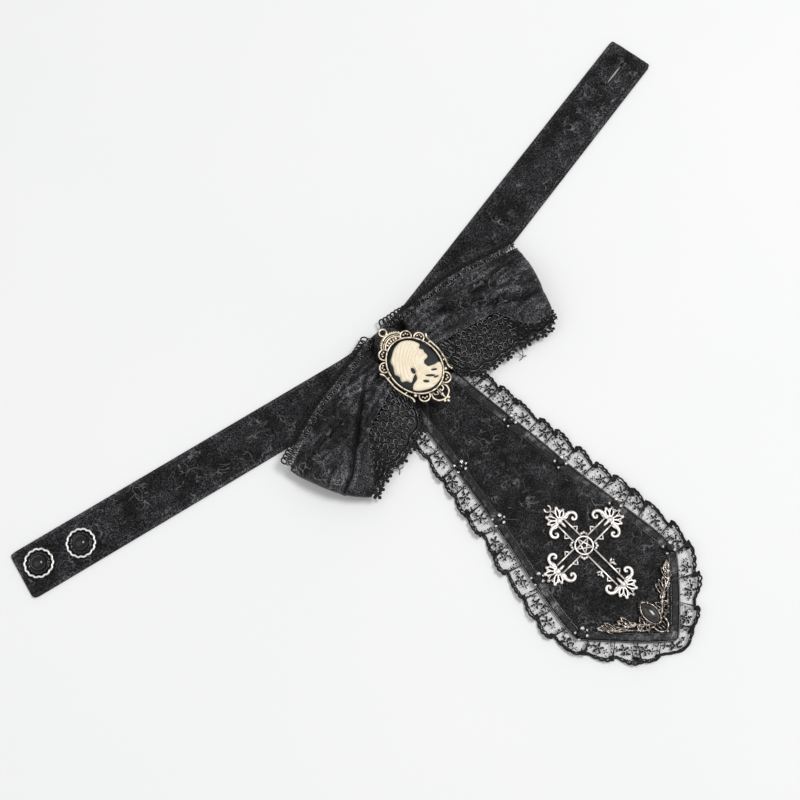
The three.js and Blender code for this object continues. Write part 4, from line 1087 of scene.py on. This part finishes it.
def ruffle_width(run):
    """The gathered net is drawn in where it turns the panel's corners and point."""
    x, y, _ = np.moveaxis(HEM.at(run, 0.0, 0.0), -1, 0)
    to_corner = np.hypot(np.abs(x) - PANEL_CORNER[0], y - PANEL_CORNER[1])
    to_point = np.hypot(x - PANEL_POINT[0], y - PANEL_POINT[1])
    return RUFFLE_WIDTH - 2.2 * np.exp(-((to_corner / 9) ** 2)) - 4.0 * np.exp(-((to_point / 9) ** 2))


def ruffle_place(run, lift, slant, let_out, out):
    """A place on the gathered net: pleats lie close at the hem, open outwards and stand off the floor."""
    share = out / RUFFLE_WIDTH
    ripple = 0.35 * np.sin(run * 1.9 + out * 0.4) * share
    z = mix(1.0 + 0.5 * lift, 0.4 + 3.2 * lift, share) + ripple * (lift > 0.3)
    z = z + np.where(share < 0.1, 0.6, 0.0) * (1 - share * 10)
    reach = 0.2 + (out - 0.5) * ruffle_width(run) / RUFFLE_WIDTH + share**2 * (3.0 * let_out - 1.5)
    return HEM.at(run + slant * share, reach, np.maximum(z, 0.12))


def make_ruffle():
    """The pleated net with its embroidery."""
    columns = ruffle_columns()
    outs = np.array([0.5, 0.9, 1.6, 2.8, 4, 5.2, 6.4, 7.4, 8.2, 8.8, RUFFLE_WIDTH])
    c, o = np.meshgrid(np.arange(len(columns)), outs, indexing="ij")
    places = ruffle_place(*np.moveaxis(columns[c, :4], -1, 0), o)
    coordinates = np.stack([columns[c, 4], o], -1)
    solid = Solid()
    solid.sheet(places[::-1], coordinates=coordinates[::-1])
    net = solid.piece("lace_ruffle_net", NET, ["lace_ruffle"], "net_lace")
    trim = make_ruffle_trim(columns)


def make_ruffle_trim(columns):
    """Embroidery on the net: a corded scalloped edge, sprigs in every pleat, the dark folds, and blots of
    painted shade beside the folds.
    """
    solid = Solid()
    cloth = columns[:, 4]

    def at(used, out, raise_by=0.12):
        parts = [np.interp(used, cloth, columns[:, k]) for k in range(4)]
        return ruffle_place(*parts, np.asarray(out, float)) + (0, 0, raise_by)

    def sprig(used, centre, spin, size, petals):
        solid.ball(at(used, centre)[()], (0.5 * size, 0.5 * size, 0.2), 0, 7, 4)
        for k in range(petals):
            a = spin + k / petals * 2 * math.pi
            for far, long, wide in ((1.15, 0.72, 0.42), (2.0, 0.5, 0.55)):
                petal = at(used + far * size * math.cos(a), centre + far * size * math.sin(a))
                solid.ball(petal, (long * size, wide * size, 0.2), math.degrees(a), 7, 4)

    fine = np.arange(0, cloth[-1], 0.42)
    solid.tube(at(fine, RUFFLE_WIDTH - 0.3 + 0.4 * np.abs(np.sin(fine * 1.05))), 0.46, 5)
    solid.tube(at(fine[::2], RUFFLE_WIDTH - 1.1 + 0.25 * np.sin(fine[::2] * 2.1)), 0.28, 4)
    rng = np.random.default_rng(SEED + 9)
    down = np.array([0.6, 2, 4, 6, 7.6, RUFFLE_WIDTH - 0.2])
    for pleat in range(PLEATS):
        first = pleat * PLEAT_COLUMNS
        fold = cloth[first + int(np.argmax(columns[first:first + PLEAT_COLUMNS, 0]))]
        width = rng.uniform(0.9, 1.5) * np.array([0.5, 0.55, 0.65, 0.85, 1.2, 1.8])
        strip = np.stack([at(fold - width, down, 0.16), at(fold - 0.1 + 0 * width, down, 0.16)], 0)
        solid.sheet(strip[::-1])
        # Dark blots of painted shade beside each fold.
        for _ in range(7):
            shade = at(fold - rng.uniform(0.8, 2.6), rng.uniform(0.8, 9.0))
            solid.ball(shade, (rng.uniform(0.5, 1.1), 0.3, 0.18), rng.uniform(0, 180), 6, 4)
        middle = float(cloth[first + 6]) + rng.uniform(-0.7, 0.7)
        sprig(middle, 4.6 + rng.uniform(-0.8, 0.8), rng.uniform(0, math.pi), rng.uniform(1.05, 1.3), 5)
        for away in (-3.7, 3.5):
            sprig(middle + away, rng.uniform(2.2, 6.6), rng.uniform(0, math.pi), rng.uniform(0.5, 0.7), 4)
        for _ in range(8):
            dot = at(middle + rng.uniform(-5, 5), rng.uniform(1.2, 8.4))
            solid.ball(dot, (rng.uniform(0.3, 0.75), rng.uniform(0.25, 0.5), 0.18), rng.uniform(0, 180), 6, 4)
    return solid.piece("ruffle_embroidery_and_shade", EMBROIDERY, (), "net_lace")


def make_header():
    """The flat header: sheer cloth over the hem, with the pleats' triple layers crossing it."""
    runs = np.arange(0, HEM.length + 0.01, PITCH / 26)
    outs = -np.array([HEADER_INNER, 3.6, 2.8, 1.9, 1.0, 0.55, HEADER_OUTER])
    r, o = np.meshgrid(runs, outs, indexing="ij")
    share = np.interp(r, PLEAT_STARTS, np.arange(PLEATS + 1)) % 1
    bar = ease((share - 0.86) / 0.04) * (share > 0.5) + (1 - ease((share - 0.07) / 0.04)) * (share < 0.5)
    edge = np.minimum(np.abs(o + HEADER_INNER), np.abs(o + HEADER_OUTER)) < 0.1
    z = PANEL_THICK + 0.42 + 0.28 * np.clip(bar, 0, 1) + 0.06 * np.sin(r * 5.1) - 0.25 * edge
    solid = Solid()
    under = HEM.at(r, o, np.full_like(z, PANEL_THICK + 0.05))
    solid.sheet(HEM.at(r, o, z)[::-1], closed_wall=under[::-1])
    header = solid.piece("ruffle_header_strip", HEADER, ["ruffle_header"], "net_lace")
    cords = Solid()
    for out, radius in ((-3.8, 0.3), (0.1, 0.45)):
        cords.tube(HEM.at(runs[::3], out, PANEL_THICK + 0.05), radius, 6)
    for start in PLEAT_STARTS[1:-1]:
        across = np.array([-0.5, -1.4, -2.4, -3.5])
        cords.tube(HEM.at(start + 1.1 + 0.2 * across, across, PANEL_THICK + 0.62), 0.24, 5)
    for run in np.arange(1, HEM.length - 1, 2.6):
        start, end = HEM.at(run, -3.1, PANEL_THICK + 0.55), HEM.at(run + 1.7, -3.1, PANEL_THICK + 0.55)
        stitch(cords, start, end, 0.08, 0.13)
    trim = cords.piece("header_cords", THREAD, (), "net_lace")


def make_beads():
    """Faceted black beads on the hem, each among small crystals."""
    number = 1
    crystals = Solid()
    for side in (-1, 1):
        for y in BEAD_ROWS:
            half, lean = panel_row(y)
            x = lean + side * (half - BEAD_INSET)
            z = PANEL_THICK + 0.8 + BEAD_RADIUS
            bead = Solid()
            bead.ball((x, y, z), (BEAD_RADIUS,) * 3, 20 * number, 10, 7)
            bead.piece(f"hem_bead_{number}", BEAD_BLACK, [f"seam_bead_{number}"], "bead_black", smooth=False)
            for dx, dy, size in CRYSTALS:
                crystals.ball((x + dx, y + dy, z - 1.2), (size, size, 0.8 * size), 30 * number, 7, 5)
            number += 1
    crystals.piece("hem_crystals", CRYSTAL, (), "bead_black", smooth=False)


# Cameo

# Half of the frame, in mm from the cameo's middle: side rail, foot and the curl inside the foot
FRAME_RAIL = ((15.5, 8.6), (14.4, 6.6), (14.5, 2), (14.6, -2), (13.6, -7), (12.2, -11.4), (12.7, -13.6))
FRAME_FOOT = ((3.6, -15.8), (4.5, -18.2), (3.4, -20.9), (0.2, -22.6))
FRAME_CURL = ((2.9, -15.9), (2.7, -17.6), (1.2, -18.3), (0.9, -16.9))


def bezel_oval():
    """Half sizes of the middle line of the bezel's wire."""
    return BEZEL_HALF[0] - BEZEL_WIRE, BEZEL_HALF[1] - BEZEL_WIRE


def bezel_place(direction, outward):
    """A place outward of the bezel, and the heading in degrees that the bezel faces there."""
    rx, ry = bezel_oval()
    turn = math.atan2(math.sin(direction * RAD) / ry, math.cos(direction * RAD) / rx)
    facing = math.atan2(math.sin(turn) / ry, math.cos(turn) / rx)
    x = rx * math.cos(turn) + outward * math.cos(facing)
    y = ry * math.sin(turn) + outward * math.sin(facing)
    return x, y, facing / RAD


def shifted(path, z):
    """A flat path moved to the cameo's middle, z above its back."""
    return np.asarray(path, float) * (1, 1, 0) + (0, CAMEO_Y, CAMEO_Z + z)


def make_cameo_frame():
    """Cast oval frame: bezel, ring lug, beaded crest, beaded loops, side rails and pointed foot."""
    solid = Solid()
    z = 0.8
    solid.tube(shifted(oval(0, 0, *bezel_oval(), 120), 1.25), 0.5, 10, True, 1.7)
    solid.tube(shifted(oval(0, 23.2, 1.85, 1.85, 28), z), 0.5, 9, True)
    for radius, start, thick in ((7.4, 28, 0.45), (5.4, 20, 0.4), (6.3, 24, 0.22)):
        solid.tube(shifted(arc(0, 13.3, radius, start, 180 - start, 28), z), thick, 8)
    for k in range(13):
        turn = mix(40, 140, k / 12) * RAD
        solid.ball((7.75 * math.cos(turn), CAMEO_Y + 13.3 + 7.75 * math.sin(turn), CAMEO_Z + z + 0.1),
                   (0.55, 0.55, 0.62), 0, 9, 6)
    for x in (-2.7, -1.35, 0, 1.35, 2.7):
        solid.ball((x, CAMEO_Y + 17.25 - 0.2 * abs(x), CAMEO_Z + z), (0.62, 1.15, 0.75), -x * 9, 9, 6)
    for direction, radius in ((64, 2.7), (40, 2.5), (-65, 2.7)):
        x, y, facing = bezel_place(direction, 1.1)
        outer = arc(x, y, radius, facing - 125, facing + 125, 26)
        for side in (1, -1):
            solid.tube(shifted(mirrored(outer, side), z), 0.46, 9)
            for spread in (-1.05, 0, 1.05):
                a = facing * RAD + spread
                bead = (side * (x + 1.2 * math.cos(a)), CAMEO_Y + y + 1.2 * math.sin(a), CAMEO_Z + z + 0.2)
                solid.ball(bead, (0.6, 0.6, 0.75), 0, 9, 6)
    rail, foot, curl = smooth_path(FRAME_RAIL, 40), smooth_path(FRAME_FOOT, 24), smooth_path(FRAME_CURL, 18)
    rail_thick = np.interp(np.linspace(0, 1, len(rail)), [0, 0.1, 0.9, 1], [0.62, 0.45, 0.45, 0.62])
    knob_x, knob_y, _ = bezel_place(-49, 1)
    for side in (1, -1):
        solid.tube(shifted(mirrored(rail, side), z), rail_thick, 9)
        solid.tube(shifted(mirrored(foot, side), z), 0.48, 9)
        solid.tube(shifted(mirrored(curl, side), z), 0.36, 8)
        solid.ball((side * knob_x, CAMEO_Y + knob_y, CAMEO_Z + z), (0.95, 0.95, 0.85), 0, 10, 6)
        solid.ball((side * 1.3, CAMEO_Y - 23, CAMEO_Z + z), (0.85, 0.75, 0.7), 0, 10, 6)
        solid.tube(shifted([(side * 14.4, 4, 0), (side * 13, 4.3, 0)], z), 0.4, 8)
        solid.tube(shifted([(side * 13.6, -7, 0), (side * 12, -7.4, 0)], z), 0.4, 8)
    solid.tube(shifted([(0, -15.6, 0), (0, -19.5, 0), (0, -22.8, 0)], z), (0.35, 0.5, 0.4), 8)
    solid.ball((0, CAMEO_Y - 19.6, CAMEO_Z + z), (0.95, 1.15, 0.8), 0, 10, 7)
    solid.ball((0, CAMEO_Y - 24.1, CAMEO_Z + z), (0.8, 0.95, 0.7), 0, 10, 6)
    solid.tube(shifted([(0, 20.6, 0), (0, 21.6, 0)], z), 0.7, 8)
    solid.piece("cameo_frame_cast", GOLD, ["cameo_frame"], "antique_gold")


def make_plaque():
    """The oval plaque, domed, with a rounded edge."""
    rings = np.array([0, 0.35, 0.6, 0.8, 0.92, 0.98, 1.0, 1.0])
    heights = np.array([1.8, 1.74, 1.62, 1.45, 1.25, 1.0, 0.7, 0.1])
    turn = np.linspace(0, 2 * math.pi, 97)
    r, t = np.meshgrid(rings, turn, indexing="ij")
    z = CAMEO_Z + heights[:, None] * np.ones_like(t)
    grid = np.stack([PLAQUE_HALF[0] * r * np.cos(t), CAMEO_Y + PLAQUE_HALF[1] * r * np.sin(t), z], -1)
    solid = Solid()
    solid.sheet(grid)
    weld(solid.piece("cameo_plaque_oval", PLAQUE, ["cameo_plaque"], "plaque_black"))


# Outlines of the relief, each a closed curve: a long-haired skeleton bust in profile
RELIEF_HEAD = [
    (-1, 12.2), (3, 12.4), (6.4, 10), (8, 6.8), (7.9, 5.4), (6.7, 4.7), (7.5, 2.9), (7.1, 1.6),
    (7.2, 0.2), (6.6, -1), (4.6, -1.2), (3.6, -2.4), (3.3, -3.6), (-2.6, -3.2), (-6.2, -4.8), (-7.4, -3),
    (-9.2, -1.6), (-8.4, 0.8), (-9, 3), (-7.4, 6), (-6.6, 8.6), (-4.2, 10.4),
]
RELIEF_BUST = [
    (-1.2, -2), (3.4, -2.4), (4, -4.2), (6.4, -5.4), (9, -6.2), (7.8, -9.4),
    (4, -12.2), (-1, -12.7), (-5.4, -10.6), (-7.8, -8), (-6.4, -6.2), (-3.4, -5.2),
]
# Gaps cut through it at the neck and between the ribs: place, half length, half width, turn
RELIEF_SLOTS = [
    {"x": -2.2, "y": -1.4, "long": 1.5, "wide": 0.8, "turn": 80},
    {"x": -1.2, "y": -8.8, "long": 1.35, "wide": 0.55, "turn": -48},
    {"x": 1.9, "y": -8.1, "long": 2.1, "wide": 0.5, "turn": -42},
    {"x": 4.9, "y": -7.2, "long": 1.3, "wide": 0.42, "turn": -34},
    {"x": 3.4, "y": -10.2, "long": 1.2, "wide": 0.38, "turn": -28},
]
RELIEF_STRETCH = (1.14, 1.1)
RELIEF_STEP = 0.15
RELIEF_MARGIN = -0.3


def inside_distance(x, y, outline):
    """Distance inside a closed outline, negative outside."""
    loop = smooth_path(outline, 150, closed=True)[:, :2]
    ends = np.roll(loop, -1, 0)
    nearest = np.full(x.shape, 1e9)
    inside = np.zeros(x.shape, bool)
    for (ax, ay), (bx, by) in zip(loop, ends):
        dx, dy = bx - ax, by - ay
        t = np.clip(((x - ax) * dx + (y - ay) * dy) / max(dx * dx + dy * dy, 1e-12), 0, 1)
        nearest = np.minimum(nearest, np.hypot(x - ax - t * dx, y - ay - t * dy))
        crosses = (ay > y) != (by > y)
        inside ^= crosses & (x < ax + (y - ay) * dx / (dy if abs(dy) > 1e-12 else 1e-12))
    return np.where(inside, nearest, -nearest)


def relief_height(x, y):
    """Height of the relief over its plaque, and how far inside its outline each place is."""
    head = inside_distance(x, y, RELIEF_HEAD)
    bust = inside_distance(x, y, RELIEF_BUST)
    body = np.maximum(head, bust)
    for slot in RELIEF_SLOTS:
        c, s = math.cos(slot["turn"] * RAD), math.sin(slot["turn"] * RAD)
        dx, dy = x - slot["x"], y - slot["y"]
        along, off = (c * dx + s * dy) / slot["long"], (c * dy - s * dx) / slot["wide"]
        body = np.minimum(body, (np.hypot(along, off) - 1) * slot["wide"])
    rise = 0.95 * np.sqrt(np.clip(body / 1.5, 0, 1))
    hair = np.clip(ease((4.2 - x + 0.25 * y) / 2.5) * (head > 0) + ease((y - 9.2) / 1.5) * (head > 0), 0, 1)
    strand = np.hypot(x - 9, y + 5.5) + 1.5 * lattice_noise(x + 20, y + 20, 4.5, SEED + 80)
    thick = 0.5 + lattice_noise(x + 31, y + 12, 3.0, SEED + 81)
    curl = 0.13 * thick * np.sin(strand * 3.9) + 0.07 * np.sin(strand * 8.3 + x)
    skull = 0.75 * np.sqrt(np.clip(1 - ((x - 4.6) / 3.9) ** 2 - ((y - 5.6) / 4.4) ** 2, 0, 1))
    cheek = 0.5 * np.exp(-((x - 5.2) ** 2 + (y - 2.3) ** 2) / 1.6)
    socket = -0.9 * np.exp(-(((x - 6.2) / 0.95) ** 2 + ((y - 4.6) / 0.8) ** 2))
    jaw = 0.45 * np.exp(-(((x - 4.9) / 2.2) ** 2 + ((y + 0.2) / 0.9) ** 2))
    teeth = -0.22 * (np.abs(np.sin(x * 4.6)) ** 6) * np.exp(-(((y - 1.0) / 0.6) ** 2)) * ease((x - 4.6) / 0.5)
    face = (skull + cheek + socket + jaw + teeth) * (1 - hair) * (head > 0)
    neck = 0.35 * np.abs(np.sin(y * 2.6)) * np.exp(-(((x - 1.4) / 1.6) ** 2)) * (y < -1.6) * (y > -5.4)
    rib = 0.3 * np.sin((x * 0.75 + y) * 2.7) * ease((-5.6 - y) / 1.2) * np.exp(-(((x - 2) / 4.5) ** 2))
    collarbone = 0.45 * np.exp(-(((y + 5.9 + 0.06 * x) / 0.5) ** 2)) * ease((x + 4) / 3)
    detail = hair * (0.45 + curl) + face + neck + rib * (head < 0) + collarbone * (head < 0)
    return rise + ease(body / 0.7) * detail, body


def make_relief():
    """The relief on a fine grid, joined to the plaque round every edge."""
    across, down = np.arange(-11.2, 10.9, RELIEF_STEP), np.arange(-14.4, 14.2, RELIEF_STEP)
    x, y = np.meshgrid(across, down, indexing="ij")
    form, body = relief_height(x / RELIEF_STRETCH[0], y / RELIEF_STRETCH[1])
    bed = 1.8 * np.sqrt(np.clip(1 - 0.35 * ((x / PLAQUE_HALF[0]) ** 2 + (y / PLAQUE_HALF[1]) ** 2), 0, 1))
    z = CAMEO_Z + bed - 0.15 + np.where(body > 0, form, -0.6)
    near = body > RELIEF_MARGIN
    cells = near[1:, 1:] & near[:-1, :-1] & near[1:, :-1] & near[:-1, 1:]
    top = np.stack([x, y + CAMEO_Y, z], -1)
    under = np.stack([x, y + CAMEO_Y, np.full_like(z, CAMEO_Z + 0.9)], -1)
    solid = Solid()
    solid.sheet(top, cells, closed_wall=under)
    solid.piece("cameo_relief_bust", IVORY, ["cameo_relief"], "ivory_resin")


# Cross

# Petals of an arm's shell as heading, reach and half width, and its beads as heading, reach and radius
SHELL_PETALS = ((0, 6.2, 0.95), (31, 6.1, 0.9), (62, 5.4, 0.9), (97, 4.8, 0.8))
SHELL_BEADS = (
    (0, 6.5, 1.1), (16, 5.4, 0.6), (31, 6.3, 1.05), (46, 5.2, 0.6),
    (62, 5.6, 1.0), (80, 4.6, 0.6), (97, 4.9, 0.95),
)
# A volute, as rows of distance along the arm from the shell's root and distance to one side
VOLUTE = (
    (0.2, 2.2), (0.4, 5.2), (-0.4, 7.2), (-2.1, 8.0), (-3.6, 7.4), (-4.1, 6.1), (-3.3, 5.2), (-2.4, 5.6),
)
# A spur, as rows of distance along the rail from its tip and distance from the arm's middle
SPUR = ((-1.6, CROSS_RAIL), (-0.3, 4.0), (0.3, 4.0), (1.6, CROSS_RAIL))
# Leaves beside the long arm, as rows of turn, distance out, distance to one side and half length
ARM_LEAVES = ((60, 15.0, 3.7, 1.7), (115, 13.8, 4.2, 1.3), (15, 16.2, 4.2, 1.3))
# Arms, as rows of reach, heading and whether the arm bears leaves
ARMS = ((23.3, 90, False), (24.8, 180, False), (24.8, 0, False), (32.8, -90, True))


def turned(places, heading):
    """Places on an arm, x out along it, turned to its heading on the panel."""
    heading = heading + CROSS_TURN
    c, s = math.cos(heading * RAD), math.sin(heading * RAD)
    x, y, z = np.moveaxis(np.asarray(places, float), -1, 0)
    return np.stack([c * x - s * y, s * x + c * y, z], -1) + (0, CROSS_Y, CROSS_Z)


def cross_arm(solid, reach, heading, leafy):
    """One arm: two rails, spurs, and a fan of open petals between two volutes that curl back."""
    root = reach - 7.4

    def bead(x, y, radii, turn=0.0, z=0.9):
        solid.ball(turned(np.array([x, y, z]), heading), radii, heading + CROSS_TURN + turn, 10, 6)

    for side in (1, -1):
        for turn, far, wide in SHELL_PETALS:
            a = side * turn * RAD
            ring = oval((far + 1.6) / 2, 0, (far - 1.6) / 2, wide, 22, 0.95)
            petal = [(root + 0.6 + x * math.cos(a) - y * math.sin(a), x * math.sin(a) + y * math.cos(a), z)
                     for x, y, z in ring]
            solid.tube(turned(petal, heading), 0.5, 8, True, 1.2)
        for turn, far, radius in SHELL_BEADS:
            a = side * turn * RAD
            bead(root + 0.6 + far * math.cos(a), far * math.sin(a), (radius, radius, 0.8), 0, 0.95)
    bead(root + 0.6, 0, (1.7, 1.5, 0.9), 0, 0.95)
    bead(root - 1.4, 0, (2.6, 0.8, 0.85), 0, 0.95)
    for side in (1, -1):
        curl = smooth_path([(root + out, side * off) for out, off in VOLUTE], 34)
        thick = np.interp(np.linspace(0, 1, len(curl)), [0, 0.35, 0.8, 1], [1.1, 1.0, 0.75, 0.7])
        solid.tube(turned(curl + (0, 0, 0.95), heading), thick, 9)
        bead(root - 2.6, side * 5.7, (0.8, 0.8, 0.85), 0, 1.0)
        rail = [(out, side * CROSS_RAIL, 0.8) for out in (3.9, reach / 2, root + 1)]
        solid.tube(turned(rail, heading), 0.5, 8)
        bead(4.5, side * 4.5, (0.9, 0.9, 0.8))
        bead(3.3, side * 4.9, (0.8, 0.7, 0.7))
        bead(4.9, side * 3.3, (0.7, 0.8, 0.7))
        spur = 19.6 if leafy else 8.8
        point = [(spur + out, side * off, 0.75) for out, off in SPUR]
        solid.tube(turned(point, heading), 0.42, 7)
        bead(spur, side * 4.1, (0.55, 0.6, 0.6))
        if leafy:
            for turn, x, y, long in ARM_LEAVES:
                bead(x, side * y, (long, 0.65, 0.7), side * turn)
            bead(14.6, side * 5.2, (0.6, 0.6, 0.65))


def make_cross():
    """Four arms round a ring with a star in it, and a lug at the top."""
    solid = Solid()
    for reach, heading, leafy in ARMS:
        cross_arm(solid, reach, heading, leafy)
    solid.tube(turned(oval(0, 0, 4.35, 4.35, 60, 0.85), 0), 0.55, 9, True, 1.3)
    solid.tube(turned(arc(0, 24.7, 1.6, -225, 45, 24, 0.8), 0), 0.48, 9)
    for k in range(5):
        a, b = (90 + k * 72) * RAD, (90 + (k + 2) * 72) * RAD
        line = [(4.2 * math.cos(a), 4.2 * math.sin(a), 0.75), (4.2 * math.cos(b), 4.2 * math.sin(b), 0.85)]
        solid.tube(turned(line, 0), 0.44, 7)
    solid.piece("cross_charm_cast", SILVER, ["cross_charm"], "antique_silver")


# Corner ornament

# Leaves of one leg, in mm from the stone's centre: place, half length, half width, turn
CORNER_LEAVES = [
    {"x": 6.0, "y": -0.4, "long": 2.4, "wide": 0.9, "turn": 110},
    {"x": 5.8, "y": -4.2, "long": 1.9, "wide": 0.8, "turn": -62},
    {"x": 8.5, "y": -1.2, "long": 2.0, "wide": 0.9, "turn": -55},
    {"x": 10.4, "y": 1.9, "long": 2.3, "wide": 1.0, "turn": 28},
    {"x": 11.4, "y": 4.6, "long": 3.4, "wide": 0.95, "turn": 82},
    {"x": 13.0, "y": 5.2, "long": 3.2, "wide": 0.8, "turn": 66},
    {"x": 15.0, "y": 5.6, "long": 2.9, "wide": 0.8, "turn": 50},
    {"x": 18.6, "y": 8.2, "long": 3.3, "wide": 0.9, "turn": 78},
    {"x": 19.8, "y": 8.8, "long": 3.0, "wide": 0.8, "turn": 62},
    {"x": 22.0, "y": 10.2, "long": 2.4, "wide": 0.9, "turn": 50},
]
# Spine of one leg and its outer border, from beside the stone to the leg's end
CORNER_SPINE = [(2.6, -4.4), (5.5, -2.6), (8.8, 0.6), (13.2, 3.2), (18, 5.2), (21, 8.2), (24, 11.4)]
CORNER_BORDER = [
    (3.6, -5.4), (6.4, -5.0), (8.4, -3.7), (10.2, -1.8), (13.8, 1.5),
    (17.1, 3.9), (19.8, 6.6), (22.2, 9.8), (24.0, 11.5),
]
# The stone's half sizes, and its section as rows of share of its outline and height
STONE_HALF = (3.05, 5.55)
STONE_SECTION = np.array([
    (1, 0.1), (1, 0.9), (0.97, 1.5), (0.88, 2.1), (0.72, 2.6), (0.5, 2.95), (0.25, 3.1), (0, 3.15),
])


def stone_outline(rx, ry, steps):
    """An oval that narrows towards its upper end."""
    ring = oval(0, 0, 1, 1, steps)
    narrow = np.where(ring[:, 1] > 0, 1 - 0.28 * ring[:, 1] ** 2, 1)
    return np.stack([ring[:, 0] * rx * narrow, ring[:, 1] * ry, np.zeros(steps)], 1)


def make_corner():
    """Leafy V of filigree round an oval stone."""
    solid = Solid()
    base = np.array([0, CORNER_Y, CORNER_Z])
    solid.tube(stone_outline(3.65, 6.15, 60) + base + (0, 0, 1.0), 0.5, 9, True, 1.6)
    for x, y, _ in stone_outline(4.25, 6.8, 26):
        solid.ball(base + (x, y, 0.7), (0.45, 0.45, 0.55), 0, 8, 5)
    crown = smooth_path([(-3.6, -5.2), (-2.9, -9.1), (0, -10.9), (2.9, -9.1), (3.6, -5.2)], 40)
    solid.tube(crown + base + (0, 0, 0.75), 0.48, 8)
    for x, y in ((-1.7, -6.9), (0, -7.6), (1.7, -6.9)):
        solid.tube(np.array([(x, y, 0.8), (x * 0.75, y - 2.3, 0.75)]) + base, 0.36, 7)
    solid.ball(base + (0, -11.6, 0.8), (0.85, 0.85, 0.75), 0, 10, 6)
    spine = smooth_path(CORNER_SPINE, 44)
    wave = np.sin(np.linspace(0, 22, len(spine)))
    vine = spine + np.stack([-0.4 * wave, 1.2 * wave, np.full(len(spine), 0.35)], 1)
    for side in (1, -1):
        solid.tube(mirrored(spine, side) + base + (0, 0, 0.8), np.linspace(0.72, 0.42, len(spine)), 8)
        solid.tube(mirrored(vine, side) + base + (0, 0, 0.75), 0.3, 7)
        for leaf in CORNER_LEAVES:
            middle = base + (side * leaf["x"], leaf["y"], 0.85)
            turn = (side * leaf["turn"] + (180 if side < 0 else 0)) * RAD
            along = np.array([math.cos(turn), math.sin(turn), 0])
            across = np.array([-math.sin(turn), math.cos(turn), 0])
            ring = oval(0, 0, leaf["long"] - 0.3, leaf["wide"], 20)
            solid.tube(middle + ring[:, :1] * along + ring[:, 1:2] * across, 0.33, 7, True, 1.4)
            for share in (-0.45, 0.15, 0.6):
                solid.ball(middle + share * leaf["long"] * along, (0.36, 0.36, 0.6), 0, 7, 5)
            solid.ball(middle + leaf["long"] * along, (0.5, 0.5, 0.65), 0, 8, 5)
        border = mirrored(smooth_path(CORNER_BORDER, 40), side) + base + (0, 0, 0.75)
        solid.tube(border, 0.34, 7)
        for place in border[2::4]:
            solid.ball(place + (0, 0, 0.15), (0.55, 0.55, 0.6), 0, 8, 5)
        solid.ball(border[8] + (0, 0, 0.2), (0.85, 0.85, 0.8), 0, 9, 6)
    solid.piece("corner_filigree_cast", BRONZE, ["corner_filigree"], "dark_bronze")

    outline = stone_outline(*STONE_HALF, 48)
    outline = np.vstack([outline, outline[:1]])
    grid = STONE_SECTION[:, 0, None, None] * outline[None] * (1, 1, 0)
    grid[..., 2] = STONE_SECTION[:, 1, None]
    stone = Solid()
    stone.sheet(np.swapaxes(grid + base + (0, 0, 0.1), 0, 1))
    weld(stone.piece("corner_stone_cabochon", STONE, ["corner_stone"], "smoky_glass"))


# Camera, light and floor


def photo_axes():
    """The photograph's directions to the right and up, seen on the floor."""
    c, s = math.cos(PHOTO_TURN * RAD), math.sin(PHOTO_TURN * RAD)
    return Vector((c, s, 0)), Vector((-s, c, 0))


def add_camera():
    """The camera, at the photograph's own angle and distance."""
    _, up = photo_axes()
    rise = PHOTO_ELEVATION * RAD
    look = Vector(PHOTO_LOOK)
    place = look + PHOTO_DISTANCE * (-up * math.cos(rise) + Vector((0, 0, math.sin(rise))))
    camera = bpy.data.objects.new("camera", bpy.data.cameras.new("camera"))
    camera.data.sensor_width = 36
    camera.data.angle = PHOTO_FIELD * RAD
    camera.data.clip_start = 0.01
    camera.location = place * MM
    camera.rotation_euler = (look - place).to_track_quat("-Z", "Y").to_euler()
    bpy.context.scene.collection.objects.link(camera)
    bpy.context.scene.camera = camera


def add_light(name, right, up, height, size, power):
    """A soft lamp placed in the photograph's own directions, aimed at the object."""
    across, ahead = photo_axes()
    place = (Vector(PHOTO_LOOK) * MM) + across * right + ahead * up + Vector((0, 0, height))
    data = bpy.data.lights.new(name, "AREA")
    data.size = size
    data.energy = power
    lamp = bpy.data.objects.new(name, data)
    lamp.location = place
    lamp.rotation_euler = (Vector(PHOTO_LOOK) * MM - place).to_track_quat("-Z", "Y").to_euler()
    bpy.context.scene.collection.objects.link(lamp)


def add_studio():
    """A pale floor, an even white surround and soft lamps."""
    mesh = bpy.data.meshes.new("floor")
    signs = ((-1, -1), (1, -1), (1, 1), (-1, 1))
    corners = [(x * FLOOR_REACH, y * FLOOR_REACH, FLOOR_LEVEL) for x, y in signs]
    mesh.from_pydata(corners, [], [(0, 1, 2, 3)])
    mesh.materials.append(floor_material())
    floor = bpy.data.objects.new("floor", mesh)
    bpy.context.scene.collection.objects.link(floor)
    world = bpy.data.worlds.new("studio")
    world.use_nodes = True
    world.node_tree.nodes["Background"].inputs["Color"].default_value = (1, 1, 1, 1)
    world.node_tree.nodes["Background"].inputs["Strength"].default_value = WORLD_LIGHT
    bpy.context.scene.world = world
    for name, lamp in LAMPS.items():
        add_light(name, **lamp)
    bpy.context.scene.view_settings.view_transform = "Standard"


def main():
    """Makes every piece."""
    add_camera()
    make_band()
    make_band_stitches()
    for number, place in enumerate(BUTTONS, 1):
        make_button(number, *place)
    make_lace_tails()
    for name, loop in LOOPS.items():
        lower = make_lower_lace(name, loop)
        upper = make_upper_lace(name, loop)
        cloth = make_loop(name, loop)
    make_bow_centre()
    make_panel()
    make_header()
    make_ruffle()
    make_beads()
    make_cameo_frame()
    make_plaque()
    make_relief()
    make_cross()
    make_corner()
    add_studio()


main()
